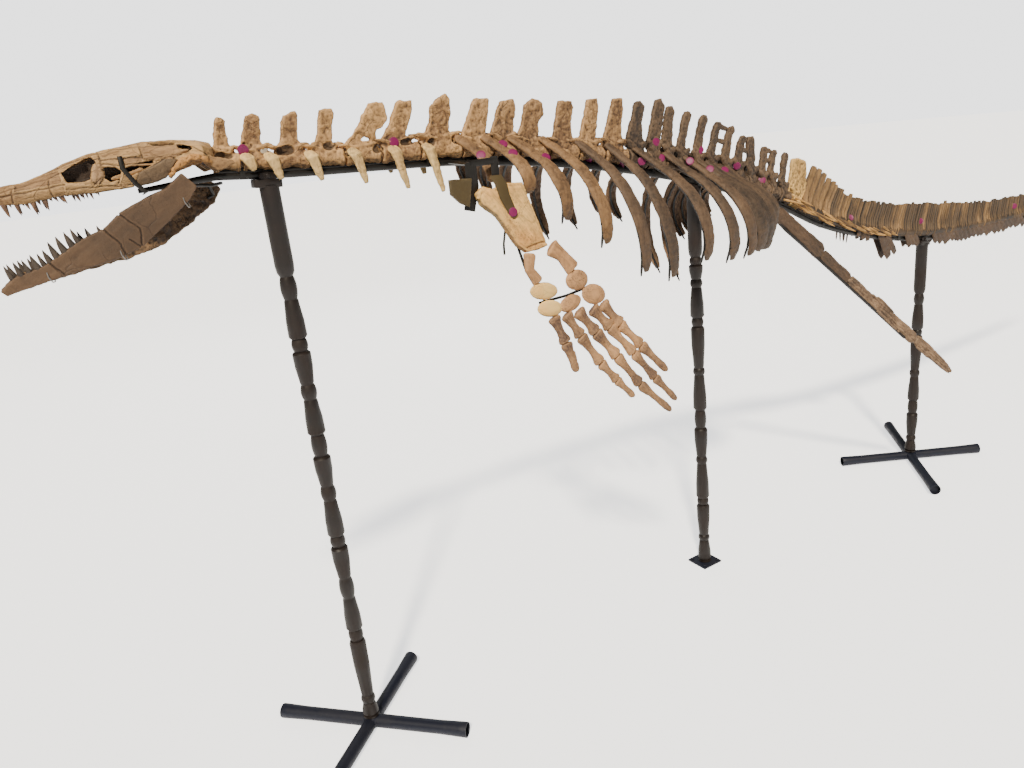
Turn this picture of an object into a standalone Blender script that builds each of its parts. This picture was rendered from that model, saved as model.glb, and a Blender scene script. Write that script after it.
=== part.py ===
"""Mounted mosasaur skeleton on three turned iron posts, life size, in metres.

Frame: +X runs from the head to the tail, -Y is the animal's left side, +Z is up. The floor is
Z = 0 and the origin is the centre of the middle post's foot. Places are given from a datum point,
which lies at DATUM in this frame.
"""

import math
import random

import bmesh
import bpy
from mathutils import Vector

GAP = 0.0003
SEED = 7
DATUM = Vector((-0.010, 0, 0.040))

# The line through the middle of the centra, from the back of the skull to the tail's tip: (x, z)
AXIS = (
    (-1.36, 1.474), (-1.20, 1.461), (-1.00, 1.451), (-0.80, 1.441), (-0.60, 1.420), (-0.40, 1.389),
    (-0.20, 1.348), (0.00, 1.298), (0.20, 1.237), (0.40, 1.166), (0.60, 1.073), (0.80, 1.006),
    (1.00, 0.956), (1.21, 0.921), (1.50, 0.896), (1.93, 0.886), (2.40, 0.891), (2.93, 0.920),
)
CORE_RADIUS = ((-1.36, 0.020), (-1.00, 0.021), (-0.60, 0.023), (0.20, 0.024), (0.60, 0.022),
               (1.00, 0.019), (1.93, 0.017), (2.93, 0.007))
CORE_WAIST = 0.84
CORE_SIDES = 8
TAIL_SIDES = 6

# Neural spines: (x, base above the axis, tip's step back, tip above the base, width along x)
SPINES = (
    (-1.333, 0.036, 0.008, 0.054, 0.030), (-1.270, 0.038, 0.014, 0.059, 0.035),
    (-1.189, 0.036, 0.015, 0.065, 0.035), (-1.114, 0.034, 0.019, 0.068, 0.034),
    (-1.028, 0.029, 0.055, 0.085, 0.054), (-0.939, 0.038, 0.040, 0.076, 0.040),
    (-0.825, 0.044, 0.032, 0.083, 0.056), (-0.722, 0.035, 0.022, 0.085, 0.051),
    (-0.642, 0.043, 0.019, 0.075, 0.049), (-0.565, 0.036, 0.026, 0.089, 0.053),
    (-0.458, 0.038, 0.013, 0.090, 0.045), (-0.376, 0.042, 0.018, 0.102, 0.045),
    (-0.286, 0.053, 0.016, 0.102, 0.044), (-0.208, 0.057, 0.012, 0.098, 0.044),
    (-0.140, 0.068, 0.010, 0.101, 0.044), (-0.088, 0.060, 0.008, 0.102, 0.038),
    (-0.036, 0.062, 0.030, 0.094, 0.036), (0.028, 0.061, 0.032, 0.096, 0.037),
    (0.086, 0.067, 0.034, 0.085, 0.034), (0.147, 0.069, 0.024, 0.082, 0.034),
    (0.200, 0.070, 0.022, 0.066, 0.035), (0.258, 0.068, -0.002, 0.081, 0.038),
    (0.311, 0.060, 0.009, 0.072, 0.032), (0.351, 0.069, 0.011, 0.062, 0.030),
    (0.402, 0.053, 0.018, 0.084, 0.029), (0.459, 0.043, 0.038, 0.082, 0.046),
)
NECK_START = -1.36
NECK_END = -0.77
TRUNK_END = 0.48
SPINE_THICKNESS = 0.013
ARCH_HALF_WIDTH = 0.0150
SLAB_HALF_WIDTH = 0.0155

# Ribs: (x of the head, drop from head to tip on the left, on the right, greatest reach sideways)
RIBS = (
    (-0.742, 0.080, 0.080, 0.080), (-0.668, 0.110, 0.110, 0.120), (-0.592, 0.178, 0.165, 0.152),
    (-0.495, 0.242, 0.235, 0.168), (-0.385, 0.321, 0.205, 0.172), (-0.283, 0.335, 0.165, 0.166),
    (-0.186, 0.280, 0.175, 0.214), (-0.076, 0.270, 0.330, 0.206), (0.002, 0.250, 0.350, 0.204),
    (0.056, 0.190, 0.195, 0.197), (0.106, 0.160, 0.160, 0.185), (0.160, 0.135, 0.130, 0.165),
    (0.215, 0.112, 0.110, 0.145),
)
RIB_SWEEP = 0.20
RIGHT_REACH = 0.82
RIB_ROOT_Y = 0.0190
RIB_START = math.radians(20)
RIB_END = math.radians(115)
RIB_RINGS = 6
RIB_HALF_WIDTH = 0.0165
RIB_HALF_THICKNESS = 0.0065

# Short neck ribs: (x, length)
NECK_RIBS = ((-1.246, 0.038), (-1.158, 0.046), (-1.058, 0.060), (-0.960, 0.080), (-0.872, 0.096))

# Tail
TAIL_ENDS = (TRUNK_END, 1.02, 1.62, 2.26, 2.93)
TAIL_PITCHES = (0.040, 0.040, 0.042, 0.052)
TAIL_TOP = ((0.48, 0.126), (0.56, 0.126), (0.62, 0.110), (0.68, 0.099), (0.76, 0.096), (1.00, 0.102),
            (1.10, 0.111), (1.35, 0.109), (1.45, 0.098), (1.60, 0.088), (1.93, 0.080), (2.93, 0.020))
TAIL_LEAN = 0.22
TAIL_PLATE_FILL = 0.86
SLAT_END = 0.97
CHEVRON_START = 1.06
CHEVRON_DROP = ((1.06, 0.044), (1.93, 0.044), (2.80, 0.024))
CHEVRON_LEAN = 0.80
CHEVRON_CLEAR_OF_POST = 0.050
# Longer ones at the root of the tail: (x, drop, lean back for each metre of drop)
LONG_CHEVRONS = ((0.825, 0.043, 0.3), (0.850, 0.046, 0.3), (0.935, 0.074, 1.0), (0.965, 0.088, 0.9))

# Skull stations, back to front: (x, top z, lower edge z, half width, half width of the roof)
SKULL = (
    (-1.3603, 1.514, 1.458, 0.040, 0.026), (-1.385, 1.522, 1.480, 0.068, 0.034),
    (-1.430, 1.528, 1.470, 0.070, 0.035), (-1.485, 1.529, 1.451, 0.065, 0.036),
    (-1.518, 1.524, 1.448, 0.060, 0.036), (-1.555, 1.521, 1.447, 0.056, 0.034),
    (-1.594, 1.514, 1.446, 0.051, 0.030), (-1.634, 1.502, 1.447, 0.045, 0.026),
    (-1.673, 1.488, 1.444, 0.039, 0.020), (-1.709, 1.478, 1.439, 0.033, 0.016),
    (-1.744, 1.475, 1.442, 0.027, 0.014), (-1.785, 1.468, 1.443, 0.020, 0.010),
    (-1.812, 1.459, 1.445, 0.010, 0.006),
)
PALATE_RISE = 0.30
ORBIT = {"x": -1.610, "z": 1.489, "half_x": 0.032, "half_z": 0.0175, "inner_y": 0.026}
TEMPORAL_HOLE = {"x": -1.440, "y": 0.032, "half_x": 0.042, "half_y": 0.013, "floor_z": 1.488}
UPPER_TEETH_X = (-1.792, -1.772, -1.750, -1.729, -1.714, -1.702, -1.682, -1.665, -1.654, -1.629,
                 -1.618, -1.605, -1.592)
TOOTH_RADIUS = 0.0048
UPPER_TOOTH_LENGTH = 0.021
LOWER_TOOTH_LENGTH = 0.032

# Left lower jaw seen from its side: (x, z), the upper edge from the tip back, then the lower edge
JAW_UPPER = ((-1.792, 1.288), (-1.765, 1.310), (-1.712, 1.323), (-1.673, 1.343), (-1.642, 1.360),
             (-1.593, 1.378), (-1.560, 1.402), (-1.509, 1.424), (-1.468, 1.438), (-1.435, 1.4625))
JAW_LOWER = ((-1.413, 1.4345), (-1.429, 1.411), (-1.482, 1.370), (-1.5355, 1.332), (-1.588, 1.3166),
             (-1.645, 1.306), (-1.700, 1.296), (-1.757, 1.284), (-1.784, 1.278))
JAW_THICKNESS = 0.018
JAW_SPREAD = ((-1.80, 0.022), (-1.60, 0.046), (-1.38, 0.080))
JAW_TIP_X = -1.79
RIGHT_JAW_STRETCH = 1.20
RIGHT_JAW_SINK = 0.050
LOWER_TEETH_X = (-1.772, -1.756, -1.742, -1.726, -1.714, -1.704, -1.690, -1.675, -1.660, -1.648,
                 -1.626, -1.608)

# Front paddle: its sloping plane, then outlines and joints as (x, z) in that plane
PADDLE_TOP_Z = 1.30
PADDLE_Y = -0.130
PADDLE_SLOPE = 0.22
HUMERUS = ((-0.807, 1.338), (-0.789, 1.352), (-0.764, 1.341), (-0.745, 1.350), (-0.680, 1.347),
           (-0.667, 1.297), (-0.652, 1.228), (-0.644, 1.190), (-0.704, 1.184), (-0.727, 1.204),
           (-0.747, 1.245), (-0.765, 1.280), (-0.800, 1.311))
HUMERUS_THICKNESS = 0.026
SHOULDER_BLADE = ((-0.872, 1.378), (-0.812, 1.375), (-0.826, 1.310), (-0.850, 1.322), (-0.872, 1.344))
BLADE_Y = -0.118
BLADE_THICKNESS = 0.010
RADIUS_BONE = ((-0.697, 1.1776, 0.015), (-0.706, 1.143, 0.010), (-0.690, 1.1125, 0.013))
ULNA_BONE = ((-0.629, 1.184, 0.021), (-0.604, 1.160, 0.014), (-0.580, 1.1235, 0.019))
# Wrist bones: (x, z, half length, half height, turn in degrees)
WRIST = ((-0.678, 1.086, 0.034, 0.0210, -8), (-0.671, 1.0415, 0.031, 0.0205, -8),
         (-0.574, 1.094, 0.026, 0.0235, 0), (-0.608, 1.042, 0.029, 0.0195, 12),
         (-0.546, 1.044, 0.030, 0.0220, -12))
# Fingers: joints from the wrist to the tip as (x, z), then the half width at the root
FINGERS = (
    (((-0.666, 1.0195), (-0.646, 0.950), (-0.631, 0.875)), 0.0125),
    (((-0.628, 1.0185), (-0.597, 0.957), (-0.553, 0.877), (-0.514, 0.823), (-0.470, 0.769)), 0.0125),
    (((-0.590, 1.0190), (-0.549, 0.956), (-0.498, 0.882), (-0.442, 0.794), (-0.356, 0.700)), 0.0135),
    (((-0.545, 1.0165), (-0.502, 0.959), (-0.442, 0.877), (-0.388, 0.799), (-0.331, 0.724)), 0.0125),
    (((-0.511, 1.0220), (-0.468, 0.959), (-0.413, 0.892), (-0.343, 0.807)), 0.0130),
)

# Hind limb: the line it hangs along, then its bones as (start, end, half width, half thickness)
LIMB_TOP = Vector((0.345, -0.064, 1.108))
LIMB_TIP = Vector((0.9425, -0.297, 0.4855))
LIMB_BONES = (
    ("left_thigh_bone", 0.0000, 0.2050, 0.0290, 0.0100),
    ("left_shin_bone", 0.2055, 0.3650, 0.0190, 0.0085),
    ("left_ankle_bone", 0.3655, 0.5000, 0.0180, 0.0080),
    ("left_foot_bone", 0.5005, 0.7700, 0.0155, 0.0075),
    ("left_toe_bone", 0.7705, 1.0000, 0.0115, 0.0065),
)

# Stand
POST_X = {"front": -1.25, "middle": -DATUM.x, "rear": 1.21}
POST_RADIUS = 0.0200
POST_NECK = 0.0150
POST_BEAD = 0.0225
POST_SIDES = 8
# Beads of each post: (height, half height)
BEADS = {
    "front": ((0.0555, 0.014), (0.260, 0.018), (0.402, 0.031), (0.538, 0.017), (0.672, 0.021),
              (0.800, 0.030), (0.937, 0.020), (1.052, 0.017), (1.187, 0.028)),
    "middle": ((0.058, 0.012), (0.197, 0.014), (0.350, 0.014), (0.498, 0.034), (0.663, 0.013),
               (0.827, 0.016), (0.952, 0.014), (1.022, 0.013)),
    "rear": ((0.060, 0.013), (0.200, 0.030), (0.346, 0.016), (0.518, 0.014), (0.655, 0.022)),
}
LEG_RADIUS = 0.0200
# Tubes of each cross: (direction in degrees, reach each way)
LEGS = {"front": ((41, 0.270), (133, 0.275)), "rear": ((48, 0.330), (148, 0.285))}
LEG_RECESS = 0.014
LEG_WALL = 0.004
FOOT_PLATE = 0.080
FOOT_PLATE_THICKNESS = 0.006
BAR_RADIUS = ((-1.53, 0.008), (-1.00, 0.008), (-0.50, 0.009), (0.50, 0.0085), (1.00, 0.0075),
              (2.93, 0.005))
BAR_CLEARANCE = 0.0020
BAR_SIDES = 6
BAR_NOSE = (-1.530, 1.4350)
BAR_ENDS = (-1.530, -0.770, 0.480, 1.620, 2.860)
BAR_STEP = 0.115
ROD_RADIUS = 0.0035
ROD_PAST_TIP = 0.022
RAIL_THICKNESS = 0.005
RAIL_HEIGHT = 0.014
CRADLE = 0.030
CRADLE_HALF_WIDTH = 0.0175
CRADLE_HALF_THICKNESS = 0.009
SADDLE_SHARES = (0.12, 0.5, 0.88)

BONE = (0.42, 0.29, 0.17)
PALE_BONE = (0.66, 0.48, 0.27)
JAW_BONE = (0.20, 0.13, 0.075)
IRON = (0.035, 0.027, 0.024)
BLUE_IRON = (0.022, 0.025, 0.038)


def along(table, x):
    """Straight-line value of a table of (x, value) rows."""
    if x <= table[0][0]:
        return table[0][1]
    for (x0, v0), (x1, v1) in zip(table, table[1:]):
        if x <= x1:
            return v0 + (v1 - v0) * (x - x0) / (x1 - x0)
    return table[-1][1]


def axis_slope(i):
    low, high = AXIS[max(i - 1, 0)], AXIS[min(i + 1, len(AXIS) - 1)]
    return (high[1] - low[1]) / (high[0] - low[0])


def axis_z(x):
    """Height of the centra's axis, a smooth curve through the AXIS points."""
    x = min(max(x, AXIS[0][0]), AXIS[-1][0])
    i = max(k for k in range(len(AXIS) - 1) if AXIS[k][0] <= x)
    (x0, z0), (x1, z1) = AXIS[i], AXIS[i + 1]
    step = x1 - x0
    t = (x - x0) / step
    pull = axis_slope(i) * step * (t**3 - 2 * t**2 + t) + axis_slope(i + 1) * step * (t**3 - t**2)
    return z0 * (2 * t**3 - 3 * t**2 + 1) + z1 * (3 * t**2 - 2 * t**3) + pull


def axis_frame(x):
    """The axis point at x, with the directions back along the axis and up from it."""
    reach = 0.004
    along_axis = Vector((2 * reach, 0, axis_z(x + reach) - axis_z(x - reach))).normalized()
    up = Vector((-along_axis.z, 0, along_axis.x))
    return Vector((x, 0, axis_z(x))), along_axis, up


def flat_of(radius, sides):
    """Distance from the middle of a many-sided section to its flats."""
    return radius * math.cos(math.pi / sides)


def bar_offset(x):
    return flat_of(along(CORE_RADIUS, x), CORE_SIDES) + BAR_CLEARANCE + along(BAR_RADIUS, x)


def bar_point(x):
    """A point on the iron bar that runs under the centra and on under the skull."""
    if x < NECK_START:
        back = bar_point(NECK_START)
        share = (x - back.x) / (BAR_NOSE[0] - back.x)
        return Vector((x, 0, back.z + (BAR_NOSE[1] - back.z) * share))
    point, _, up = axis_frame(x)
    return point - up * bar_offset(x)


def closed_object(name, bm):
    bmesh.ops.remove_doubles(bm, verts=bm.verts, dist=1e-6)
    bmesh.ops.recalc_face_normals(bm, faces=bm.faces)
    mesh = bpy.data.meshes.new(name)
    bm.to_mesh(mesh)
    bm.free()
    obj = bpy.data.objects.new(name, mesh)
    bpy.context.scene.collection.objects.link(obj)
    return obj


def loft(rings):
    """One closed skin through rings of points, each ring with as many points as the last."""
    bm = bmesh.new()
    loops = [[bm.verts.new(point) for point in ring] for ring in rings]
    for low, high in zip(loops, loops[1:]):
        for i in range(len(low)):
            j = (i + 1) % len(low)
            bm.faces.new((low[i], low[j], high[j], high[i]))
    bm.faces.new(loops[0])
    bm.faces.new(loops[-1])
    return closed_object("piece", bm)


def oval(centre, across, up, half_across, half_up, sides):
    """Points round a section, with a flat at its foot when the sides are even."""
    points = []
    for i in range(sides):
        angle = 2 * math.pi * (i + 0.5) / sides - math.pi / 2
        points.append(centre + across * (half_across * math.cos(angle)) + up * (half_up * math.sin(angle)))
    return points


def sweep(points, halves, wide, sides=6):
    """A bone or rod through points. halves holds (half width along wide, half thickness)."""
    rings = []
    for i, point in enumerate(points):
        ahead = (points[min(i + 1, len(points) - 1)] - points[max(i - 1, 0)]).normalized()
        across = (wide - ahead * wide.dot(ahead)).normalized()
        rings.append(oval(point, across, ahead.cross(across), halves[i][0], halves[i][1], sides))
    return loft(rings)


def slab(outline, normal, thickness):
    """An outline of points in one plane, thickened both ways along its normal."""
    shift = normal.normalized() * (thickness / 2)
    return loft([[point + shift for point in outline], [point - shift for point in outline]])


def block(centre, axes, halves):
    """A box with its middle, three directions and three half sizes."""
    x, y, z = (axis * half for axis, half in zip(axes, halves))
    low = [centre + a * x + b * y - z for a, b in ((-1, -1), (1, -1), (1, 1), (-1, 1))]
    return loft([low, [corner + 2 * z for corner in low]])


def cone(root, tip, radius):
    """A four-sided tooth that leans from its root to its tip."""
    ahead = (tip - root).normalized()
    across = ahead.orthogonal().normalized()
    ring = oval(root, across, ahead.cross(across), radius, radius, 4)
    bm = bmesh.new()
    base = [bm.verts.new(point) for point in ring]
    top = bm.verts.new(tip)
    bm.faces.new(base)
    for i in range(4):
        bm.faces.new((base[i], base[(i + 1) % 4], top))
    return closed_object("tooth", bm)


def keep_largest(obj):
    """Drops every loose scrap and sealed inner wall, so that one closed surface is left."""
    bm = bmesh.new()
    bm.from_mesh(obj.data)
    groups = []
    left = set(bm.verts)
    while left:
        group = {left.pop()}
        edge = list(group)
        while edge:
            for link in edge.pop().link_edges:
                for vert in link.verts:
                    if vert in left:
                        left.discard(vert)
                        group.add(vert)
                        edge.append(vert)
        groups.append(group)
    groups.sort(key=lambda group: -sum(abs(face.calc_area()) for vert in group for face in vert.link_faces))
    loose = [vert for group in groups[1:] for vert in group]
    bmesh.ops.delete(bm, geom=loose, context="VERTS")
    bm.to_mesh(obj.data)
    bm.free()


def combine(target, others, operation):
    """One Boolean of the target with all the others, applied. The others are then removed."""
    group = bpy.data.collections.new("group")
    bpy.context.scene.collection.children.link(group)
    for other in others:
        bpy.context.scene.collection.objects.unlink(other)
        group.objects.link(other)
    modifier = target.modifiers.new("Boolean", "BOOLEAN")
    modifier.operation = operation
    modifier.operand_type = "COLLECTION"
    modifier.collection = group
    modifier.solver = "MANIFOLD"
    mesh = bpy.data.meshes.new_from_object(target.evaluated_get(bpy.context.evaluated_depsgraph_get()))
    target.modifiers.clear()
    target.data = mesh
    for other in list(group.objects):
        bpy.data.objects.remove(other)
    bpy.data.collections.remove(group)
    return target


def material_of(name, colour, roughness, metallic):
    material = bpy.data.materials.new(name)
    material.use_nodes = True
    shader = material.node_tree.nodes["Principled BSDF"]
    shader.inputs["Base Color"].default_value = (*colour, 1)
    shader.inputs["Roughness"].default_value = roughness
    shader.inputs["Metallic"].default_value = metallic
    return material


def finish(name, pieces, colour, roughness=0.8, metallic=0.0):
    """Joins the pieces into one closed body, names it and gives it its material."""
    body = pieces[0]
    if len(pieces) > 1:
        combine(body, pieces[1:], "UNION")
        keep_largest(body)
    body.name = name
    body.data.name = name
    body.data.materials.clear()
    body.data.materials.append(material_of(name, colour, roughness, metallic))
    return body


def iron(name, pieces, colour=IRON):
    return finish(name, pieces, colour, 0.45, 0.8)


def joints_between(start, end):
    """The gaps between neighbouring vertebrae from start to end, with both ends."""
    xs = [row[0] for row in SPINES]
    middles = [(a + b) / 2 for a, b in zip(xs, xs[1:])]
    return [start] + [x for x in middles if start + 0.01 < x < end - 0.01] + [end]


def core(rims, sides, waists=True, end_gap=GAP / 2):
    """The row of centra between the rims, each drawn in at its waist."""
    rings = []
    for i, rim in enumerate(rims):
        x = rim + (end_gap if i == 0 else -end_gap if i == len(rims) - 1 else 0)
        point, _, up = axis_frame(x)
        radius = along(CORE_RADIUS, x)
        rings.append(oval(point, Vector((0, 1, 0)), up, radius, radius, sides))
        if waists and i < len(rims) - 1:
            middle = (rim + rims[i + 1]) / 2
            point, _, up = axis_frame(middle)
            radius = along(CORE_RADIUS, middle) * CORE_WAIST
            rings.append(oval(point, Vector((0, 1, 0)), up, radius, radius, sides))
    return loft(rings)


def neural_spine(row, rims):
    """The arch on top of one centrum and the flat spine that stands on it."""
    x, rise, back, height, width = row
    point, ahead, up = axis_frame(x)
    radius = along(CORE_RADIUS, x)
    before = max(rim for rim in rims[:-1] if rim <= x)
    after = min(rim for rim in rims if rim > x)
    half_length = 0.5 * (after - before) * 0.88
    base = Vector((x, 0, axis_z(x) + rise))
    foot = Vector(((before + after) / 2, 0, axis_z((before + after) / 2))) + up * (radius * 0.45)
    shoulder = base + up * 0.004
    side = Vector((0, 1, 0))
    arch = loft([
        [foot + ahead * (s * half_length) + side * (t * ARCH_HALF_WIDTH)
         for s, t in ((-1, -1), (1, -1), (1, 1), (-1, 1))],
        [shoulder + ahead * (s * width * 0.56) + side * (t * SPINE_THICKNESS * 0.56)
         for s, t in ((-1, -1), (1, -1), (1, 1), (-1, 1))],
    ])
    top = base + Vector((back, 0, height))
    root = base - up * 0.012
    outline = [
        root - ahead * (width * 0.50), root + ahead * (width * 0.50),
        top + Vector((width * 0.46, 0, -0.010)), top + Vector((width * 0.24, 0, 0.001)),
        top + Vector((-width * 0.26, 0, 0)), top + Vector((-width * 0.44, 0, -0.012)),
    ]
    return [arch, slab(outline, side, SPINE_THICKNESS)]


def neck_rib(x, length, side):
    point = axis_frame(x)[0]
    radius = along(CORE_RADIUS, x)
    root = point + Vector((0, side * radius * 0.45, -0.004))
    bend = point + Vector((0.004, side * (radius + 0.014), -0.006))
    tip = bend + Vector((0.16 * length, side * 0.10 * length, -length))
    return sweep([root, bend, tip], [(0.013, 0.009), (0.012, 0.008), (0.006, 0.004)], Vector((1, 0, 0)), 6)


def neck():
    rims = joints_between(NECK_START, NECK_END)
    pieces = [core(rims, CORE_SIDES)]
    for row in SPINES:
        if row[0] < NECK_END:
            pieces += neural_spine(row, rims)
    for x, length in NECK_RIBS:
        pieces += [neck_rib(x, length, side) for side in (-1, 1)]
    finish("neck_vertebrae", pieces, PALE_BONE)


def rib_shape(row, side):
    """Centre of an arc in the plane of the rib, and the arc's half width and half height."""
    x, left_drop, right_drop, reach = row
    drop = right_drop if side > 0 else left_drop
    reach *= RIGHT_REACH if side > 0 else 1
    half_width = (reach - RIB_ROOT_Y) / (1 - math.sin(RIB_START))
    half_height = drop / (math.cos(RIB_START) - math.cos(RIB_END))
    centre_y = reach - half_width
    centre_z = axis_z(x) - half_height * math.cos(RIB_START)
    return centre_y, centre_z, half_width, half_height


def rib_point(row, side, angle, inward=0.0):
    """A point on a rib, or that far inside its curve. Ribs sweep back as they drop."""
    centre_y, centre_z, half_width, half_height = rib_shape(row, side)
    y = centre_y + half_width * math.sin(angle)
    z = centre_z + half_height * math.cos(angle)
    out = Vector((0, math.sin(angle) * half_height, math.cos(angle) * half_width)).normalized()
    x = row[0] + RIB_SWEEP * (axis_z(row[0]) - z)
    return Vector((x, side * (y - out.y * inward), z - out.z * inward))


def rib(row, side):
    points, halves = [], []
    for i in range(RIB_RINGS):
        share = i / (RIB_RINGS - 1)
        points.append(rib_point(row, side, RIB_START + (RIB_END - RIB_START) * share))
        wide = RIB_HALF_WIDTH * (0.62 + 0.60 * math.sin(math.pi * min(share * 0.75 + 0.10, 1)) - 0.12 * share)
        halves.append((wide, RIB_HALF_THICKNESS * (1.15 - 0.35 * share)))
    return sweep(points, halves, Vector((1, 0, 0)), 6)


def trunk():
    rims = joints_between(NECK_END, TRUNK_END)
    rows = [row for row in SPINES if row[0] > NECK_END]
    length = TRUNK_END - NECK_END
    middle = Vector(((TRUNK_END + NECK_END) / 2, 0, 1.3))
    axes = (Vector((1, 0, 0)), Vector((0, 1, 0)), Vector((0, 0, 1)))
    pieces = [core(rims, CORE_SIDES)]
    for row in rows:
        pieces += neural_spine(row, rims)
    body = combine(pieces[0], pieces[1:], "UNION")
    combine(body, [block(middle, axes, (length, SLAB_HALF_WIDTH, 1.0))], "INTERSECT")
    keep_largest(body)
    finish("back_vertebrae", [body], BONE)
    for name, side in (("ribs_left", -1), ("ribs_right", 1)):
        pieces = [core(rims, CORE_SIDES)] + [rib(row, side) for row in RIBS]
        body = combine(pieces[0], pieces[1:], "UNION")
        outer = middle + Vector((0, side * (0.5 + SLAB_HALF_WIDTH + GAP), 0))
        combine(body, [block(outer, axes, (length, 0.5, 1.0))], "INTERSECT")
        keep_largest(body)
        finish(name, [body], BONE)


def tail_plate(x, pitch, rng):
    """One tall, thin neural spine of the tail, leaning back."""
    point, ahead, up = axis_frame(x)
    height = along(TAIL_TOP, x) * rng.uniform(0.94, 1.03)
    half = pitch * TAIL_PLATE_FILL / 2
    thickness = 0.30 * along(CORE_RADIUS, x) + 0.004
    root = point + up * (along(CORE_RADIUS, x) * 0.25)
    top = point + up * height + ahead * (height * TAIL_LEAN)
    slant = rng.uniform(-0.004, 0.006)
    shoulder = point + up * (along(CORE_RADIUS, x) * 1.05)
    outline = [root - ahead * half, root + ahead * half, shoulder + ahead * half,
               top + ahead * (half * 0.9) - up * slant, top - ahead * (half * 0.9), shoulder - ahead * half]
    return slab(outline, Vector((0, 1, 0)), thickness)


def tail_slat(x, side, rng):
    """A thin side process that lies back along the root of the tail."""
    point, ahead, up = axis_frame(x)
    reach = 0.085 * (1.15 - (x - TRUNK_END) / (SLAT_END - TRUNK_END)) * rng.uniform(0.85, 1.1)
    radius = along(CORE_RADIUS, x)
    root = point + Vector((0, side * radius * 0.5, 0))
    tip = point + ahead * reach + Vector((0, side * (radius + 0.35 * reach), 0)) - up * (0.010 + 0.10 * reach)
    return sweep([root, tip], [(0.007, 0.004), (0.005, 0.0025)], up, 4)


def chevron_arm(x, side, drop, lean):
    """One side of the forked bone that hangs from a tail vertebra and straddles the iron bar."""
    point, ahead, up = axis_frame(x)
    beside = Vector((0, side * max(along(BAR_RADIUS, x) + 0.0046, along(CORE_RADIUS, x) * 0.62), 0))
    start = along(CORE_RADIUS, x) * 0.35
    root = point + beside - up * start
    tip = point + beside - up * drop + ahead * (lean * (drop - start))
    return sweep([root, tip], [(0.0130, 0.0034), (0.0110, 0.0030)], ahead, 4)


def tail():
    rng = random.Random(SEED)
    names = ("tail_root", "tail_front", "tail_middle", "tail_end")
    for name, start, end, pitch in zip(names, TAIL_ENDS, TAIL_ENDS[1:], TAIL_PITCHES):
        count = round((end - start) / pitch)
        rims = [start + (end - start) * i / count for i in range(count + 1)]
        pieces = [core(rims, TAIL_SIDES, waists=False)]
        for i, (low, high) in enumerate(zip(rims, rims[1:])):
            middle = (low + high) / 2
            pieces.append(tail_plate(middle, pitch, rng))
            if middle < SLAT_END and i % 2 == 0:
                pieces += [tail_slat(middle, side, rng) for side in (-1, 1)]
            near_post = abs(middle + 0.02 - POST_X["rear"]) < CHEVRON_CLEAR_OF_POST
            if middle > CHEVRON_START and i % 2 == 0 and i < count - 1 and not near_post:
                drop = along(CHEVRON_DROP, middle) * rng.uniform(0.92, 1.06)
                pieces += [chevron_arm(middle, side, drop, CHEVRON_LEAN) for side in (-1, 1)]
        for x, drop, lean in LONG_CHEVRONS:
            if start < x < end:
                pieces += [chevron_arm(x, side, drop, lean) for side in (-1, 1)]
        finish(name, pieces, BONE)


def skull_ring(row):
    x, top, low, half, roof = row
    tall = top - low
    right = [(roof, top - 0.08 * tall), (half * 0.94, low + 0.58 * tall), (half, low + 0.24 * tall),
             (half * 0.93, low), (half * 0.62, low), (half * 0.42, low + PALATE_RISE * tall)]
    left = [(-y, z) for y, z in reversed(right)]
    # The back of the skull lies flat on the front of the neck, which leans a little.
    up = axis_frame(NECK_START + GAP / 2)[2]
    lean = up.x / up.z if row == SKULL[0] else 0
    return [Vector((x + lean * (z - AXIS[0][1]), y, z)) for y, z in [(0, top)] + right + left]


def orbit_cutter(side):
    ring = []
    for i in range(10):
        angle = 2 * math.pi * i / 10
        along_x = ORBIT["half_x"] * math.cos(angle)
        ring.append(Vector((ORBIT["x"] + along_x, 0, ORBIT["z"] + ORBIT["half_z"] * math.sin(angle) + 0.22 * along_x)))
    inner = [point + Vector((0, side * ORBIT["inner_y"], 0)) for point in ring]
    outer = [point + Vector((0, side * 0.1, 0)) for point in ring]
    return loft([inner, outer])


def temporal_cutter(side):
    hole = TEMPORAL_HOLE
    centre = Vector((hole["x"], side * hole["y"], hole["floor_z"]))
    ring = oval(centre, Vector((1, 0, 0)), Vector((0, 1, 0)), hole["half_x"], hole["half_y"], 8)
    return loft([ring, [point + Vector((0, 0, 0.1)) for point in ring]])


def skull():
    rng = random.Random(SEED + 1)
    body = loft([skull_ring(row) for row in SKULL])
    combine(body, [orbit_cutter(-1), orbit_cutter(1), temporal_cutter(-1), temporal_cutter(1)], "DIFFERENCE")
    edge = [(row[0], row[2]) for row in reversed(SKULL)]
    spread = [(row[0], row[3]) for row in reversed(SKULL)]
    teeth = []
    for x in UPPER_TEETH_X:
        for side in (-1, 1):
            length = UPPER_TOOTH_LENGTH * rng.uniform(0.75, 1.1)
            root = Vector((x + 0.003, side * along(spread, x) * 0.78, along(edge, x) + 0.006))
            teeth.append(cone(root, root + Vector((0.002, side * 0.001, -length - 0.004)), TOOTH_RADIUS))
    finish("skull", [body] + teeth, PALE_BONE)


def jaw_point(x, z, side, inner):
    """A place on the outer or inner face of a lower jaw, which spreads out towards the back."""
    spread = along(JAW_SPREAD, x) - (JAW_THICKNESS if inner else 0)
    if side > 0:
        share = x - JAW_TIP_X
        z -= RIGHT_JAW_SINK * max(share, 0)
        x = JAW_TIP_X + RIGHT_JAW_STRETCH * share
    return Vector((x, side * spread, z))


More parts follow.
